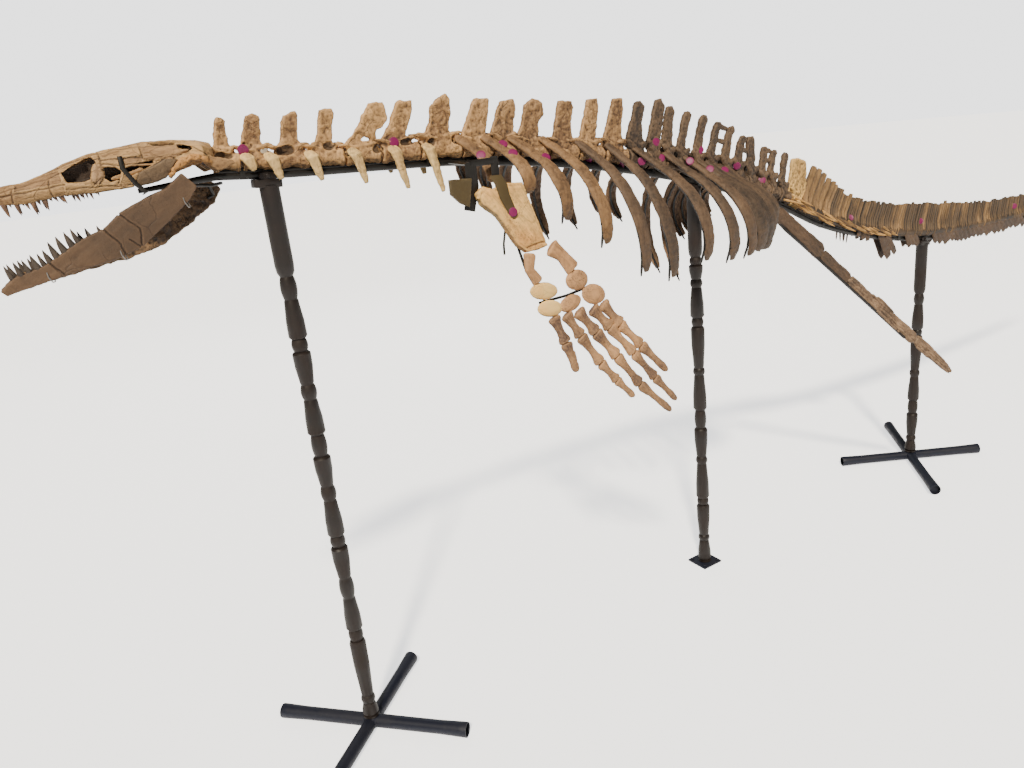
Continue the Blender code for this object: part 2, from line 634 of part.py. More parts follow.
def lower_jaw(name, side):
    rng = random.Random(SEED + 2)
    outline = JAW_UPPER + JAW_LOWER
    pieces = [loft([[jaw_point(x, z, side, inner) for x, z in outline] for inner in (False, True)])]
    for x in LOWER_TEETH_X:
        z = along(JAW_UPPER, x)
        low = jaw_point(x + 0.006, z - 0.006, side, False) * 0.5 + jaw_point(x + 0.006, z - 0.006, side, True) * 0.5
        length = LOWER_TOOTH_LENGTH * rng.uniform(0.8, 1.1)
        pieces.append(cone(low, low + Vector((-0.40, 0, 0.92)) * length, TOOTH_RADIUS))
    finish(name, pieces, JAW_BONE)


def paddle_point(x, z, out=0.0):
    """A place on the sloping plane of the left front paddle, or that far in front of it."""
    return Vector((x, PADDLE_Y - PADDLE_SLOPE * (PADDLE_TOP_Z - z) - out, z))


PADDLE_NORMAL = Vector((0, -1, PADDLE_SLOPE)).normalized()


def rounded_slab(outline, thickness):
    """A flat bone with a thick middle and a thinner rim."""
    centre = sum(outline, Vector()) / len(outline)
    rings = []
    for shift, share in ((-0.5, 0.84), (-0.22, 1.0), (0.22, 1.0), (0.5, 0.84)):
        rings.append([centre + (point - centre) * share + PADDLE_NORMAL * (thickness * shift)
                      for point in outline])
    return loft(rings)


def limb_bone(start, end, half, thickness, normal):
    """A finger or limb bone, wide at both ends and narrow between them."""
    shares = ((0.0, 0.80), (0.12, 1.0), (0.45, 0.62), (0.62, 0.62), (0.90, 0.96), (1.0, 0.72))
    points = [start.lerp(end, share) for share, _ in shares]
    halves = [(half * wide, thickness * (0.6 + 0.4 * wide)) for _, wide in shares]
    return sweep(points, halves, (end - start).cross(normal), 6)


def finger(index):
    joints, half = FINGERS[index]
    points = [paddle_point(x, z) for x, z in joints]
    pieces = []
    for i, (start, end) in enumerate(zip(points, points[1:])):
        size = half * (1 - 0.13 * i)
        ahead = (end - start).normalized()
        last = i == len(points) - 2
        pieces.append(limb_bone(start, end + ahead * (0.0 if last else 0.004), size, size * 0.62, PADDLE_NORMAL))
    finish(f"left_finger_{index + 1}", pieces, PALE_BONE)


def wrist_outline(x, z, half_x, half_z, turn):
    angle = math.radians(turn)
    points = []
    for i in range(8):
        around = 2 * math.pi * i / 8
        u, v = half_x * math.cos(around), half_z * math.sin(around)
        points.append(paddle_point(x + u * math.cos(angle) - v * math.sin(angle),
                                   z + u * math.sin(angle) + v * math.cos(angle)))
    return points


def shaft_bone(name, rows, thickness):
    """A forearm bone: (x, z, half width) at its upper end, its waist and its lower end."""
    points = [paddle_point(x, z) for x, z, _ in rows]
    first, last = points[0] - points[1], points[-1] - points[-2]
    points = [points[0] + first.normalized() * 0.004] + points + [points[-1] + last.normalized() * 0.004]
    halves = [rows[0][2] * 0.7] + [row[2] for row in rows] + [rows[-1][2] * 0.7]
    wide = (points[-1] - points[0]).cross(PADDLE_NORMAL)
    finish(name, [sweep(points, [(half, thickness) for half in halves], wide, 6)], PALE_BONE)


def front_paddle():
    blade = [Vector((x, BLADE_Y, z)) for x, z in SHOULDER_BLADE]
    finish("left_shoulder_blade", [slab(blade, Vector((0, 1, 0)), BLADE_THICKNESS)], BONE)
    finish("left_humerus", [rounded_slab([paddle_point(x, z) for x, z in HUMERUS], HUMERUS_THICKNESS)], PALE_BONE)
    shaft_bone("left_radius", RADIUS_BONE, 0.0085)
    shaft_bone("left_ulna", ULNA_BONE, 0.0085)
    for i, row in enumerate(WRIST):
        finish(f"left_wrist_bone_{i + 1}", [rounded_slab(wrist_outline(*row), 0.018)], PALE_BONE)
    for index in range(len(FINGERS)):
        finger(index)


def limb_axes():
    ahead = (LIMB_TIP - LIMB_TOP).normalized()
    outward = Vector((0, -1, 0))
    normal = (outward - ahead * outward.dot(ahead)).normalized()
    return ahead, normal, normal.cross(ahead)


def hind_limb():
    ahead, normal, across = limb_axes()
    for name, start, end, half, thickness in LIMB_BONES:
        low, high = LIMB_TOP.lerp(LIMB_TIP, start), LIMB_TOP.lerp(LIMB_TIP, end)
        points = [low.lerp(high, share) for share in (0, 0.10, 0.50, 0.90, 1)]
        tip = 0.35 if name == "left_toe_bone" else 0.85
        halves = [(half * wide, thickness) for wide in (0.85, 1.0, 0.92, 0.95 * min(tip + 0.3, 1), tip)]
        finish(name, [sweep(points, halves, across, 6)], BONE)


def turned_post(name):
    """A turned post: beads at the given heights, with a neck each side and a barrel between them."""
    x = POST_X[name]
    before, after = bar_point(x - CRADLE), bar_point(x + CRADLE)
    bar = (before + after) / 2
    ahead = (after - before).normalized()
    up = Vector((-ahead.z, 0, ahead.x))
    cradle_top = flat_of(along(BAR_RADIUS, x), BAR_SIDES) + 2 * GAP
    foot = {"middle": FOOT_PLATE_THICKNESS}.get(name, 2 * flat_of(LEG_RADIUS, POST_SIDES)) + GAP - DATUM.z
    profile = [(foot, POST_RADIUS)]
    for height, half in BEADS[name]:
        profile += [(height - half, POST_NECK), (height, POST_BEAD), (height + half, POST_NECK)]
    rows = []
    for (low, r0), (high, r1) in zip(profile, profile[1:]):
        rows.append((low, r0))
        if r0 == r1 == POST_NECK and high - low > 0.03:
            rows.append((low + (high - low) * 0.25, POST_RADIUS))
            rows.append((low + (high - low) * 0.70, POST_RADIUS * 0.98))
    rows.append(profile[-1])
    rows.append((profile[-1][0] + 0.012, POST_RADIUS))
    rows.append((bar.z - cradle_top - 0.012, POST_RADIUS))
    across, depth = Vector((1, 0, 0)), Vector((0, 1, 0))
    shaft = loft([oval(Vector((x, 0, z)), across, depth, r, r, POST_SIDES) for z, r in rows])
    centre = bar - up * (cradle_top + CRADLE_HALF_THICKNESS)
    cradle = block(centre, (ahead, depth, up), (CRADLE, CRADLE_HALF_WIDTH, CRADLE_HALF_THICKNESS))
    pieces = [shaft, cradle]
    if name != "middle":
        cheek = along(BAR_RADIUS, x) + 0.0030 + GAP
        for side in (-1, 1):
            pieces.append(block(bar + depth * (side * cheek) - up * 0.005, (ahead, depth, up), (0.018, 0.0026, 0.010)))
    iron(f"stand_post_{name}", pieces)


def base_cross(name):
    """Two crossing tubes on the floor, open at their four ends."""
    inner = LEG_RADIUS - LEG_WALL
    middle = Vector((POST_X[name], 0, flat_of(LEG_RADIUS, POST_SIDES) - DATUM.z))
    tubes = []
    for turn, reach in LEGS[name]:
        ahead = Vector((math.cos(math.radians(turn)), math.sin(math.radians(turn)), 0))
        across = Vector((0, 0, 1)).cross(ahead)
        rings = []
        for step, radius in ((LEG_RECESS - reach, inner), (-reach, inner), (-reach, LEG_RADIUS),
                             (reach, LEG_RADIUS), (reach, inner), (reach - LEG_RECESS, inner)):
            rings.append(oval(middle + ahead * step, across, Vector((0, 0, 1)), radius, radius, POST_SIDES))
        tubes.append(loft(rings))
    iron(f"stand_base_{name}", tubes, BLUE_IRON)


def bar_stations(start, end):
    """Places along the bar where it may bend. It runs straight over the cradle of each post."""
    count = max(2, round((end - start) / BAR_STEP))
    xs = [start + (end - start) * i / count for i in range(count + 1)]
    for post in POST_X.values():
        if start < post < end:
            xs = [x for x in xs if abs(x - post) > 2 * CRADLE] + [post - CRADLE, post + CRADLE]
    xs.sort()
    xs[0] += GAP / 2
    xs[-1] -= GAP / 2
    return xs


def spine_bar():
    """The iron bar under the centra, in four lengths, with saddles up to the bone."""
    for number, (start, end) in enumerate(zip(BAR_ENDS, BAR_ENDS[1:])):
        rings = []
        for x in bar_stations(start, end):
            up = axis_frame(max(x, NECK_START))[2]
            radius = along(BAR_RADIUS, x)
            rings.append(oval(bar_point(x), Vector((0, 1, 0)), up, radius, radius, BAR_SIDES))
        pieces = [loft(rings)]
        for share in SADDLE_SHARES:
            pieces.append(saddle(max(start + (end - start) * share, NECK_START + 0.06)))
        iron(f"stand_spine_bar_{number + 1}", pieces)


def saddle(x):
    """A small iron block from the bar up to the underside of the centra."""
    if x < TRUNK_END:
        x = min(joints_between(NECK_START, TRUNK_END)[1:-1], key=lambda rim: abs(rim - x))
    point, ahead, up = axis_frame(x)
    sides = CORE_SIDES if x < TRUNK_END else TAIL_SIDES
    top = flat_of(along(CORE_RADIUS, x), sides) + 2 * GAP
    low = bar_offset(x)
    centre = point - up * ((top + low) / 2)
    return block(centre, (ahead, Vector((0, 1, 0)), up), (0.004, 0.0045, (low - top) / 2))


def rod(points, half_wide, half_thick, wide, sides=4):
    return sweep(points, [(half_wide, half_thick)] * len(points), wide, sides)


def rib_irons(name, side):
    """The rods that back the ribs of one side, on a flat strip beside the bar."""
    first, last = RIBS[0][0] - 0.015, RIBS[-1][0] + 0.015
    half_y = Vector((0, RAIL_THICKNESS / 2, 0))
    beside = {}
    rings = []
    count = 10
    for x in [first + (last - first) * i / count for i in range(count + 1)] + [row[0] for row in RIBS]:
        beside[x] = Vector((0, side * (along(BAR_RADIUS, x) + GAP + RAIL_THICKNESS / 2), 0))
    for x in sorted(beside)[::2]:
        half_z = axis_frame(x)[2] * (RAIL_HEIGHT / 2)
        centre = bar_point(x) + beside[x]
        rings.append([centre - half_y - half_z, centre + half_y - half_z, centre + half_y + half_z,
                      centre - half_y + half_z])
    pieces = [loft(rings)]
    for row in RIBS:
        inward = RIB_HALF_THICKNESS * 1.15 + ROD_RADIUS * 0.71 + 2 * GAP
        angles = [RIB_START + (RIB_END - RIB_START) * i / (RIB_RINGS - 1) for i in range(2, RIB_RINGS)]
        points = [bar_point(row[0]) + beside[row[0]]]
        points += [rib_point(row, side, angle, inward) for angle in angles]
        points.append(points[-1] + (points[-1] - points[-2]).normalized() * ROD_PAST_TIP)
        pieces.append(rod(points, ROD_RADIUS, ROD_RADIUS, Vector((1, 0, 0))))
    iron(name, pieces)


def limb_iron():
    """The flat strip under the hind limb, which comes down from beside the bar."""
    ahead, normal, across = limb_axes()
    down = across if across.z < 0 else -across
    start = bar_point(0.285)
    points = [start - Vector((0, along(BAR_RADIUS, start.x) + 0.0040 + GAP, 0)), start + Vector((0.018, -0.040, -0.046))]
    for share in (0.03, 0.205, 0.365, 0.50, 0.72):
        half = max(row[3] for row in LIMB_BONES if row[1] <= share + 0.01 and row[2] >= share - 0.01)
        points.append(LIMB_TOP.lerp(LIMB_TIP, share) + down * (half + 0.0025 + 5 * GAP))
    iron("stand_hind_limb_iron", [rod(points, 0.0055, 0.0035, normal)])


def behind_paddle(x, z, depth):
    """A place behind the paddle's plane, clear of bones that are twice that deep."""
    return paddle_point(x, z) - PADDLE_NORMAL * (depth + ROD_RADIUS + GAP)


def shoulder_iron():
    """The bracket that carries the shoulder blade and the paddle, and a strip behind the wrist."""
    start = bar_point(-0.800)
    side_y = BLADE_Y + BLADE_THICKNESS / 2 + ROD_RADIUS
    bar_side = start + Vector((0, -along(BAR_RADIUS, start.x) - 0.0010, 0))
    corner = Vector((-0.806, side_y, start.z - 0.004))
    blade_end = Vector((-0.834, side_y, 1.300))
    humerus = HUMERUS_THICKNESS / 2
    top = Vector((-0.735, side_y + 0.008, corner.z))
    down = [top, behind_paddle(-0.738, 1.352, humerus), behind_paddle(-0.716, 1.215, humerus),
            behind_paddle(-0.708, 1.140, 0.0085), behind_paddle(-0.684, 1.085, 0.009),
            behind_paddle(-0.660, 1.035, 0.009)]
    hook = [behind_paddle(-0.728, 1.275, humerus), behind_paddle(-0.752, 1.215, humerus),
            behind_paddle(-0.756, 1.190, humerus)]
    across = [behind_paddle(-0.690, 1.060, 0.009), behind_paddle(-0.605, 1.062, 0.009),
              behind_paddle(-0.540, 1.070, 0.009)]
    pieces = [
        rod([bar_side, corner, blade_end], ROD_RADIUS * 1.3, ROD_RADIUS, Vector((1, 0, 0))),
        rod([corner, top], ROD_RADIUS, ROD_RADIUS, Vector((0, 0, 1))),
        rod(down, ROD_RADIUS, ROD_RADIUS, Vector((1, 0, 0))),
        rod(hook, ROD_RADIUS * 0.8, ROD_RADIUS * 0.8, Vector((1, 0, 0))),
        rod(across, ROD_RADIUS, ROD_RADIUS, Vector((0, 0, 1))),
    ]
    iron("stand_shoulder_iron", pieces)


def jaw_iron():
    """One bent rod under the bar, which holds both lower jaws from inside."""
    under = bar_point(-1.345) - Vector((0, 0, along(BAR_RADIUS, -1.345) + ROD_RADIUS + 0.0015))
    points = []
    for x, z in ((-1.475, 1.415), (-1.430, 1.438)):
        points.append(jaw_point(x, z, -1, True) + Vector((0, ROD_RADIUS * 0.71 + 3 * GAP, 0)))
    points += [under + Vector((-0.030, -0.030, -0.001)), under, under + Vector((-0.020, 0.034, -0.004))]
    for x, z in ((-1.430, 1.425), (-1.475, 1.400)):
        points.append(jaw_point(x, z, 1, True) - Vector((0, ROD_RADIUS * 0.71 + 3 * GAP, 0)))
    iron("stand_jaw_iron", [rod(points, ROD_RADIUS, ROD_RADIUS, Vector((0, 0, 1)))])


def skull_strap():
    """The flat strap from the bar's nose, up the left cheek of the skull."""
    under = bar_point(-1.500) - Vector((0, 0, along(BAR_RADIUS, -1.500) + 0.0015 + 3 * GAP))
    points = [under + Vector((0, 0.012, 0)), under + Vector((-0.003, -0.048, 0.005)),
              Vector((-1.508, -0.0655, 1.440)), Vector((-1.520, -0.0655, 1.458)),
              Vector((-1.538, -0.0605, 1.492)), Vector((-1.552, -0.0440, 1.5165))]
    iron("stand_skull_strap", [rod(points, 0.0042, 0.0012, Vector((1, 0, 0.4)))])


def clear_scene():
    for obj in list(bpy.data.objects):
        bpy.data.objects.remove(obj)


def move_to_datum():
    """Hangs every piece from one empty, which stands at the datum point."""
    datum = bpy.data.objects.new("datum", None)
    datum.location = DATUM
    bpy.context.scene.collection.objects.link(datum)
    for obj in list(bpy.data.objects):
        if obj.type == "MESH":
            obj.parent = datum


def main():
    clear_scene()
    skull()
    lower_jaw("lower_jaw_left", -1)
    lower_jaw("lower_jaw_right", 1)
    neck()
    trunk()
    tail()
    front_paddle()
    hind_limb()
    for name in POST_X:
        turned_post(name)
    for name in ("front", "rear"):
        base_cross(name)
    half = FOOT_PLATE / 2
    square = (Vector((1, 0, 0)), Vector((0, 1, 0)), Vector((0, 0, 1)))
    plate = block(Vector((-DATUM.x, 0, FOOT_PLATE_THICKNESS / 2 - DATUM.z)), square, (half, half, FOOT_PLATE_THICKNESS / 2))
    iron("stand_foot_middle", [plate])
    spine_bar()
    rib_irons("stand_rib_irons_left", -1)
    rib_irons("stand_rib_irons_right", 1)
    limb_iron()
    shoulder_iron()
    jaw_iron()
    skull_strap()
    move_to_datum()


main()
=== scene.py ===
"""Mounted mosasaur skeleton on three turned iron posts, dressed over its CAD solids.

Places are given in metres from the same datum point as in the solids, and each finished piece is
then shifted to the solids' frame. +X runs from the head to the tail, -Y is the animal's left side.
"""

import math
import random

import bmesh
import bpy
import numpy as np
from mathutils import Matrix, Vector


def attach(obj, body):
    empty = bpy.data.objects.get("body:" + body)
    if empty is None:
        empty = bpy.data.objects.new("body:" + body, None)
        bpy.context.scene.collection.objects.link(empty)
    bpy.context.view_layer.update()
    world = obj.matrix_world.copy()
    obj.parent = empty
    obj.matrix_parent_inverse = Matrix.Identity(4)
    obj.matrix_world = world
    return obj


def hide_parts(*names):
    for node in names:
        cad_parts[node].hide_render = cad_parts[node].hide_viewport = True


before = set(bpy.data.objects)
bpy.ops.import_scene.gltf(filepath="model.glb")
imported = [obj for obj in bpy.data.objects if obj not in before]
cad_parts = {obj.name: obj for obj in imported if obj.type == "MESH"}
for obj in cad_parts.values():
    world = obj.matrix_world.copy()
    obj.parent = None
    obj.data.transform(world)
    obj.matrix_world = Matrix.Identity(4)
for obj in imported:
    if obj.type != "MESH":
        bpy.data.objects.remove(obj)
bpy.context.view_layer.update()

bl_info = {
    "name": "Mounted mosasaur skeleton",
    "version": (1, 0, 0),
    "blender": (4, 5, 0),
    "location": "3D View > Sidebar > Mosasaur",
    "description": "Models a mounted mosasaur skeleton with its iron stand",
    "category": "Object",
}

BODY = "root"
DATUM = Vector((-0.010, 0, 0.040))
GAP = 0.0003
X, Y, Z = Vector((1, 0, 0)), Vector((0, 1, 0)), Vector((0, 0, 1))
SIDES = (("left", -1), ("right", 1))

# The line through the middle of the centra: (x, z)
AXIS = (
    (-1.36, 1.474), (-1.20, 1.461), (-1.00, 1.451), (-0.80, 1.441), (-0.60, 1.420), (-0.40, 1.389),
    (-0.20, 1.348), (0.00, 1.298), (0.20, 1.237), (0.40, 1.166), (0.60, 1.073), (0.80, 1.006),
    (1.00, 0.956), (1.21, 0.921), (1.50, 0.896), (1.93, 0.886), (2.40, 0.891), (2.93, 0.920),
)
CORE_RADIUS = ((-1.36, 0.020), (-1.00, 0.021), (-0.60, 0.023), (0.20, 0.024), (0.60, 0.022),
               (1.00, 0.019), (1.93, 0.017), (2.93, 0.007))
NECK_START, NECK_END, TRUNK_END = -1.36, -0.77, 0.48

# Neural spines: (x, base above the axis, tip's step back, tip above the base, width along x)
SPINES = (
    (-1.333, 0.036, 0.008, 0.054, 0.030), (-1.270, 0.038, 0.014, 0.059, 0.035),
    (-1.189, 0.036, 0.015, 0.065, 0.035), (-1.114, 0.034, 0.019, 0.068, 0.034),
    (-1.028, 0.029, 0.055, 0.085, 0.054), (-0.939, 0.038, 0.040, 0.076, 0.040),
    (-0.825, 0.044, 0.032, 0.083, 0.056), (-0.722, 0.035, 0.022, 0.085, 0.051),
    (-0.642, 0.043, 0.019, 0.075, 0.049), (-0.565, 0.036, 0.026, 0.089, 0.053),
    (-0.458, 0.038, 0.013, 0.090, 0.045), (-0.376, 0.042, 0.018, 0.102, 0.045),
    (-0.286, 0.053, 0.016, 0.102, 0.044), (-0.208, 0.057, 0.012, 0.098, 0.044),
    (-0.140, 0.068, 0.010, 0.101, 0.044), (-0.088, 0.060, 0.008, 0.102, 0.038),
    (-0.036, 0.062, 0.030, 0.094, 0.036), (0.028, 0.061, 0.032, 0.096, 0.037),
    (0.086, 0.067, 0.034, 0.085, 0.034), (0.147, 0.069, 0.024, 0.082, 0.034),
    (0.200, 0.070, 0.022, 0.066, 0.035), (0.258, 0.068, -0.002, 0.081, 0.038),
    (0.311, 0.060, 0.009, 0.072, 0.032), (0.351, 0.069, 0.011, 0.062, 0.030),
    (0.402, 0.053, 0.018, 0.084, 0.029), (0.459, 0.043, 0.038, 0.082, 0.046),
)
# Outlines of the first spines, from the foot's front corner over the top: (x, z)
SPINE_OUTLINES = (
    ((-1.350, 1.500), (-1.337, 1.551), (-1.330, 1.562), (-1.315, 1.554), (-1.317, 1.526), (-1.319, 1.500)),
    ((-1.293, 1.500), (-1.281, 1.542), (-1.272, 1.560), (-1.255, 1.564), (-1.242, 1.557), (-1.245, 1.532),
     (-1.253, 1.496)),
    ((-1.208, 1.496), (-1.198, 1.538), (-1.191, 1.553), (-1.163, 1.562), (-1.160, 1.552), (-1.171, 1.496)),
    ((-1.132, 1.488), (-1.119, 1.520), (-1.110, 1.560), (-1.081, 1.560), (-1.077, 1.548), (-1.085, 1.521),
     (-1.092, 1.488)),
    ((-1.066, 1.478), (-1.023, 1.517), (-1.003, 1.549), (-0.990, 1.563), (-0.955, 1.564), (-0.949, 1.526),
     (-0.964, 1.508), (-0.984, 1.504), (-0.985, 1.474)),
    ((-0.982, 1.474), (-0.950, 1.508), (-0.928, 1.550), (-0.917, 1.562), (-0.883, 1.560), (-0.885, 1.540),
     (-0.900, 1.511), (-0.919, 1.471)),
    ((-0.866, 1.468), (-0.843, 1.510), (-0.836, 1.543), (-0.810, 1.562), (-0.789, 1.570), (-0.781, 1.558),
     (-0.788, 1.512), (-0.801, 1.462)),
    ((-0.770, 1.458), (-0.733, 1.519), (-0.715, 1.553), (-0.675, 1.548), (-0.678, 1.518), (-0.694, 1.458)),
    ((-0.683, 1.454), (-0.654, 1.518), (-0.639, 1.540), (-0.600, 1.543), (-0.598, 1.523), (-0.614, 1.454)),
    ((-0.605, 1.448), (-0.579, 1.487), (-0.569, 1.525), (-0.542, 1.542), (-0.516, 1.526), (-0.513, 1.496),
     (-0.531, 1.478), (-0.538, 1.440)),
    ((-0.490, 1.435), (-0.477, 1.478), (-0.462, 1.527), (-0.420, 1.524), (-0.417, 1.508), (-0.430, 1.469),
     (-0.429, 1.428)),
    ((-0.406, 1.422), (-0.385, 1.475), (-0.367, 1.524), (-0.336, 1.525), (-0.332, 1.501), (-0.344, 1.456),
     (-0.350, 1.412)),
    ((-0.325, 1.415), (-0.300, 1.468), (-0.280, 1.518), (-0.250, 1.518), (-0.247, 1.494), (-0.259, 1.448),
     (-0.256, 1.405)),
    ((-0.243, 1.402), (-0.223, 1.450), (-0.201, 1.504), (-0.183, 1.505), (-0.170, 1.488), (-0.184, 1.447),
     (-0.182, 1.395)),
    ((-0.166, 1.395), (-0.146, 1.449), (-0.127, 1.503), (-0.108, 1.505), (-0.093, 1.485), (-0.108, 1.440),
     (-0.118, 1.390)),
    ((-0.110, 1.390), (-0.087, 1.481), (-0.064, 1.485), (-0.057, 1.468), (-0.066, 1.436), (-0.071, 1.375)),
)
LAST_SPINE = ((0.424, 1.150), (0.450, 1.277), (0.480, 1.277), (0.483, 1.262), (0.487, 1.274), (0.516, 1.263),
              (0.521, 1.215), (0.505, 1.120))
# Hollows on the neck's side: (x, z, half x, half z, depth)
NECK_HOLLOWS = ((-1.336, 1.484, 0.022, 0.0085, 0.010), (-1.204, 1.482, 0.024, 0.011, 0.010),
                (-1.285, 1.500, 0.016, 0.007, 0.006), (-1.102, 1.481, 0.016, 0.010, 0.009),
                (-1.150, 1.463, 0.013, 0.007, 0.006), (-1.060, 1.462, 0.014, 0.008, 0.006),
                (-0.990, 1.462, 0.013, 0.009, 0.007), (-0.915, 1.470, 0.016, 0.009, 0.007),
                (-0.850, 1.463, 0.012, 0.010, 0.006), (-0.780, 1.462, 0.013, 0.012, 0.007))
SPINE_HOLE = ((-1.026, 1.487), (-1.013, 1.492), (-0.997, 1.486), (-1.008, 1.475))
SPINE_THICKNESS = 0.0125
BRIDGED_SPINES = (18, 20, 22)
SPINE_TINTS = (0.05, -0.1, -0.4, 0.0, 0.3, -0.3, 0.1, 0.35, 0.1, -0.15, -0.35, 0.0, -0.5, -0.6, 0.0, 0.3,
               -0.1,
               0.2, -0.4, -0.3, -0.5, -0.3, 0.1, 0.2, 0.0, 0.3)

# Ribs: (x of the head, drop from head to tip on the left, on the right, greatest reach sideways)
RIBS = (
    (-0.742, 0.080, 0.080, 0.080), (-0.668, 0.110, 0.110, 0.120), (-0.592, 0.178, 0.165, 0.152),
    (-0.495, 0.242, 0.235, 0.168), (-0.385, 0.321, 0.205, 0.172), (-0.283, 0.335, 0.165, 0.166),
    (-0.186, 0.280, 0.175, 0.214), (-0.076, 0.270, 0.330, 0.206), (0.002, 0.250, 0.350, 0.204),
    (0.054, 0.228, 0.205, 0.197), (0.088, 0.220, 0.180, 0.190), (0.118, 0.188, 0.150, 0.180),
    (0.143, 0.158, 0.130, 0.168), (0.165, 0.136, 0.110, 0.156),
)
RIB_SWEEP = 0.20
RIGHT_REACH = 0.82
RIB_ROOT_Y = 0.0190
RIB_START, RIB_END = math.radians(20), math.radians(115)
RIB_RINGS = 15
SHEET_FIRST_RIB = 9
SHEET_TINTS = (-0.5, 0.25, -0.3, 0.45, -0.1)
NECK_RIBS = ((-1.296, 0.018), (-1.246, 0.038), (-1.158, 0.046), (-1.058, 0.060), (-0.960, 0.080),
             (-0.872, 0.096))

# Tail
TAIL_SEGMENTS = (("root", 0.48, 1.02, 0.0128), ("front", 1.02, 1.62, 0.0125),
                 ("middle", 1.62, 2.26, 0.0145), ("end", 2.26, 2.93, 0.0170))
TAIL_TOP = ((0.48, 0.150), (0.54, 0.146), (0.60, 0.124), (0.68, 0.102), (0.76, 0.096), (1.00, 0.102),
            (1.10, 0.109), (1.35, 0.110), (1.45, 0.100), (1.60, 0.088), (1.93, 0.080), (2.93, 0.020))
TAIL_LEAN = 0.22
CHEVRON_DROP = ((1.06, 0.048), (1.93, 0.050), (2.80, 0.026))
CHEVRON_START, CHEVRON_END, CHEVRON_PITCH = 1.085, 2.80, 0.030
CHEVRON_LEAN = 0.80
LONG_CHEVRONS = ((0.800, 0.036, 0.3), (0.825, 0.043, 0.3), (0.850, 0.046, 0.3))
LONG_PLANKS = ((0.918, 0.094, 1.02, 0.0205), (0.958, 0.078, 1.15, 0.0150))
SLIVER_START, SLIVER_END, SLIVER_COUNT = 0.395, 1.00, 52

# Skull stations, back to front: (x, top z, lower edge z, half width, half width of the roof)
SKULL = (
    (-1.3603, 1.514, 1.458, 0.040, 0.026), (-1.385, 1.522, 1.480, 0.068, 0.034),
    (-1.430, 1.528, 1.470, 0.070, 0.035), (-1.485, 1.529, 1.451, 0.065, 0.036),
    (-1.518, 1.524, 1.448, 0.060, 0.036), (-1.555, 1.521, 1.447, 0.056, 0.034),
    (-1.594, 1.514, 1.446, 0.051, 0.030), (-1.634, 1.502, 1.447, 0.045, 0.026),
    (-1.673, 1.488, 1.444, 0.039, 0.020), (-1.709, 1.478, 1.439, 0.033, 0.016),
    (-1.744, 1.475, 1.442, 0.027, 0.014), (-1.785, 1.468, 1.443, 0.020, 0.010),
    (-1.812, 1.459, 1.445, 0.010, 0.006),
)
ORBIT = ((-1.641, 1.487), (-1.631, 1.492), (-1.618, 1.499), (-1.607, 1.502), (-1.599, 1.508), (-1.584, 1.511),
         (-1.579, 1.499), (-1.587, 1.487), (-1.592, 1.471), (-1.606, 1.467), (-1.636, 1.469))
CHEEK_GAPS = (
    ((-1.571, 1.489), (-1.548, 1.487), (-1.540, 1.478), (-1.545, 1.464), (-1.563, 1.461), (-1.572, 1.470)),
    ((-1.532, 1.484), (-1.505, 1.489), (-1.478, 1.492), (-1.482, 1.484), (-1.512, 1.474), (-1.528, 1.467)),
)
TEMPLE_GAP = ((-1.434, 1.515), (-1.420, 1.516), (-1.402, 1.507), (-1.408, 1.502), (-1.428, 1.509))
QUADRATE_GAP = ((-1.421, 1.466), (-1.412, 1.476), (-1.398, 1.478), (-1.389, 1.468), (-1.395, 1.455),
                (-1.418, 1.455))
# Bones of the cheek and roof that stand proud or lie deep: (outline, height, finish number)
SKULL_PLATES = (
    (((-1.642, 1.469), (-1.594, 1.460), (-1.525, 1.455), (-1.525, 1.440), (-1.645, 1.440)), 0.0016, 0),
    (((-1.572, 1.523), (-1.498, 1.527), (-1.499, 1.503), (-1.533, 1.502), (-1.572, 1.504)), 0.0010, 0),
    (((-1.497, 1.519), (-1.433, 1.516), (-1.427, 1.498), (-1.450, 1.491), (-1.497, 1.495)), 0.0020, 1),
    (((-1.534, 1.502), (-1.500, 1.500), (-1.500, 1.491), (-1.534, 1.489)), -0.0010, 1),
    (((-1.512, 1.473), (-1.451, 1.497), (-1.438, 1.488), (-1.461, 1.455), (-1.521, 1.446)), 0.0012, 2),
    (((-1.594, 1.466), (-1.585, 1.496), (-1.571, 1.496), (-1.572, 1.472), (-1.585, 1.459)), 0.0030, 3),
    (((-1.461, 1.452), (-1.443, 1.476), (-1.416, 1.490), (-1.376, 1.488), (-1.376, 1.470), (-1.440, 1.450)),
     0.0010, 4),
    (((-1.645, 1.503), (-1.572, 1.523), (-1.572, 1.512), (-1.643, 1.494)), 0.0012, 0),
    (((-1.720, 1.476), (-1.645, 1.492), (-1.645, 1.470), (-1.725, 1.464)), -0.0012, 1),
)
BACK_PLATE = ((-1.401, 1.508), (-1.368, 1.488), (-1.330, 1.477), (-1.322, 1.469), (-1.340, 1.462),
              (-1.367, 1.456),
              (-1.380, 1.468), (-1.396, 1.492))
NOSTRIL = (-1.745, -1.665, 0.0075, 0.0045)
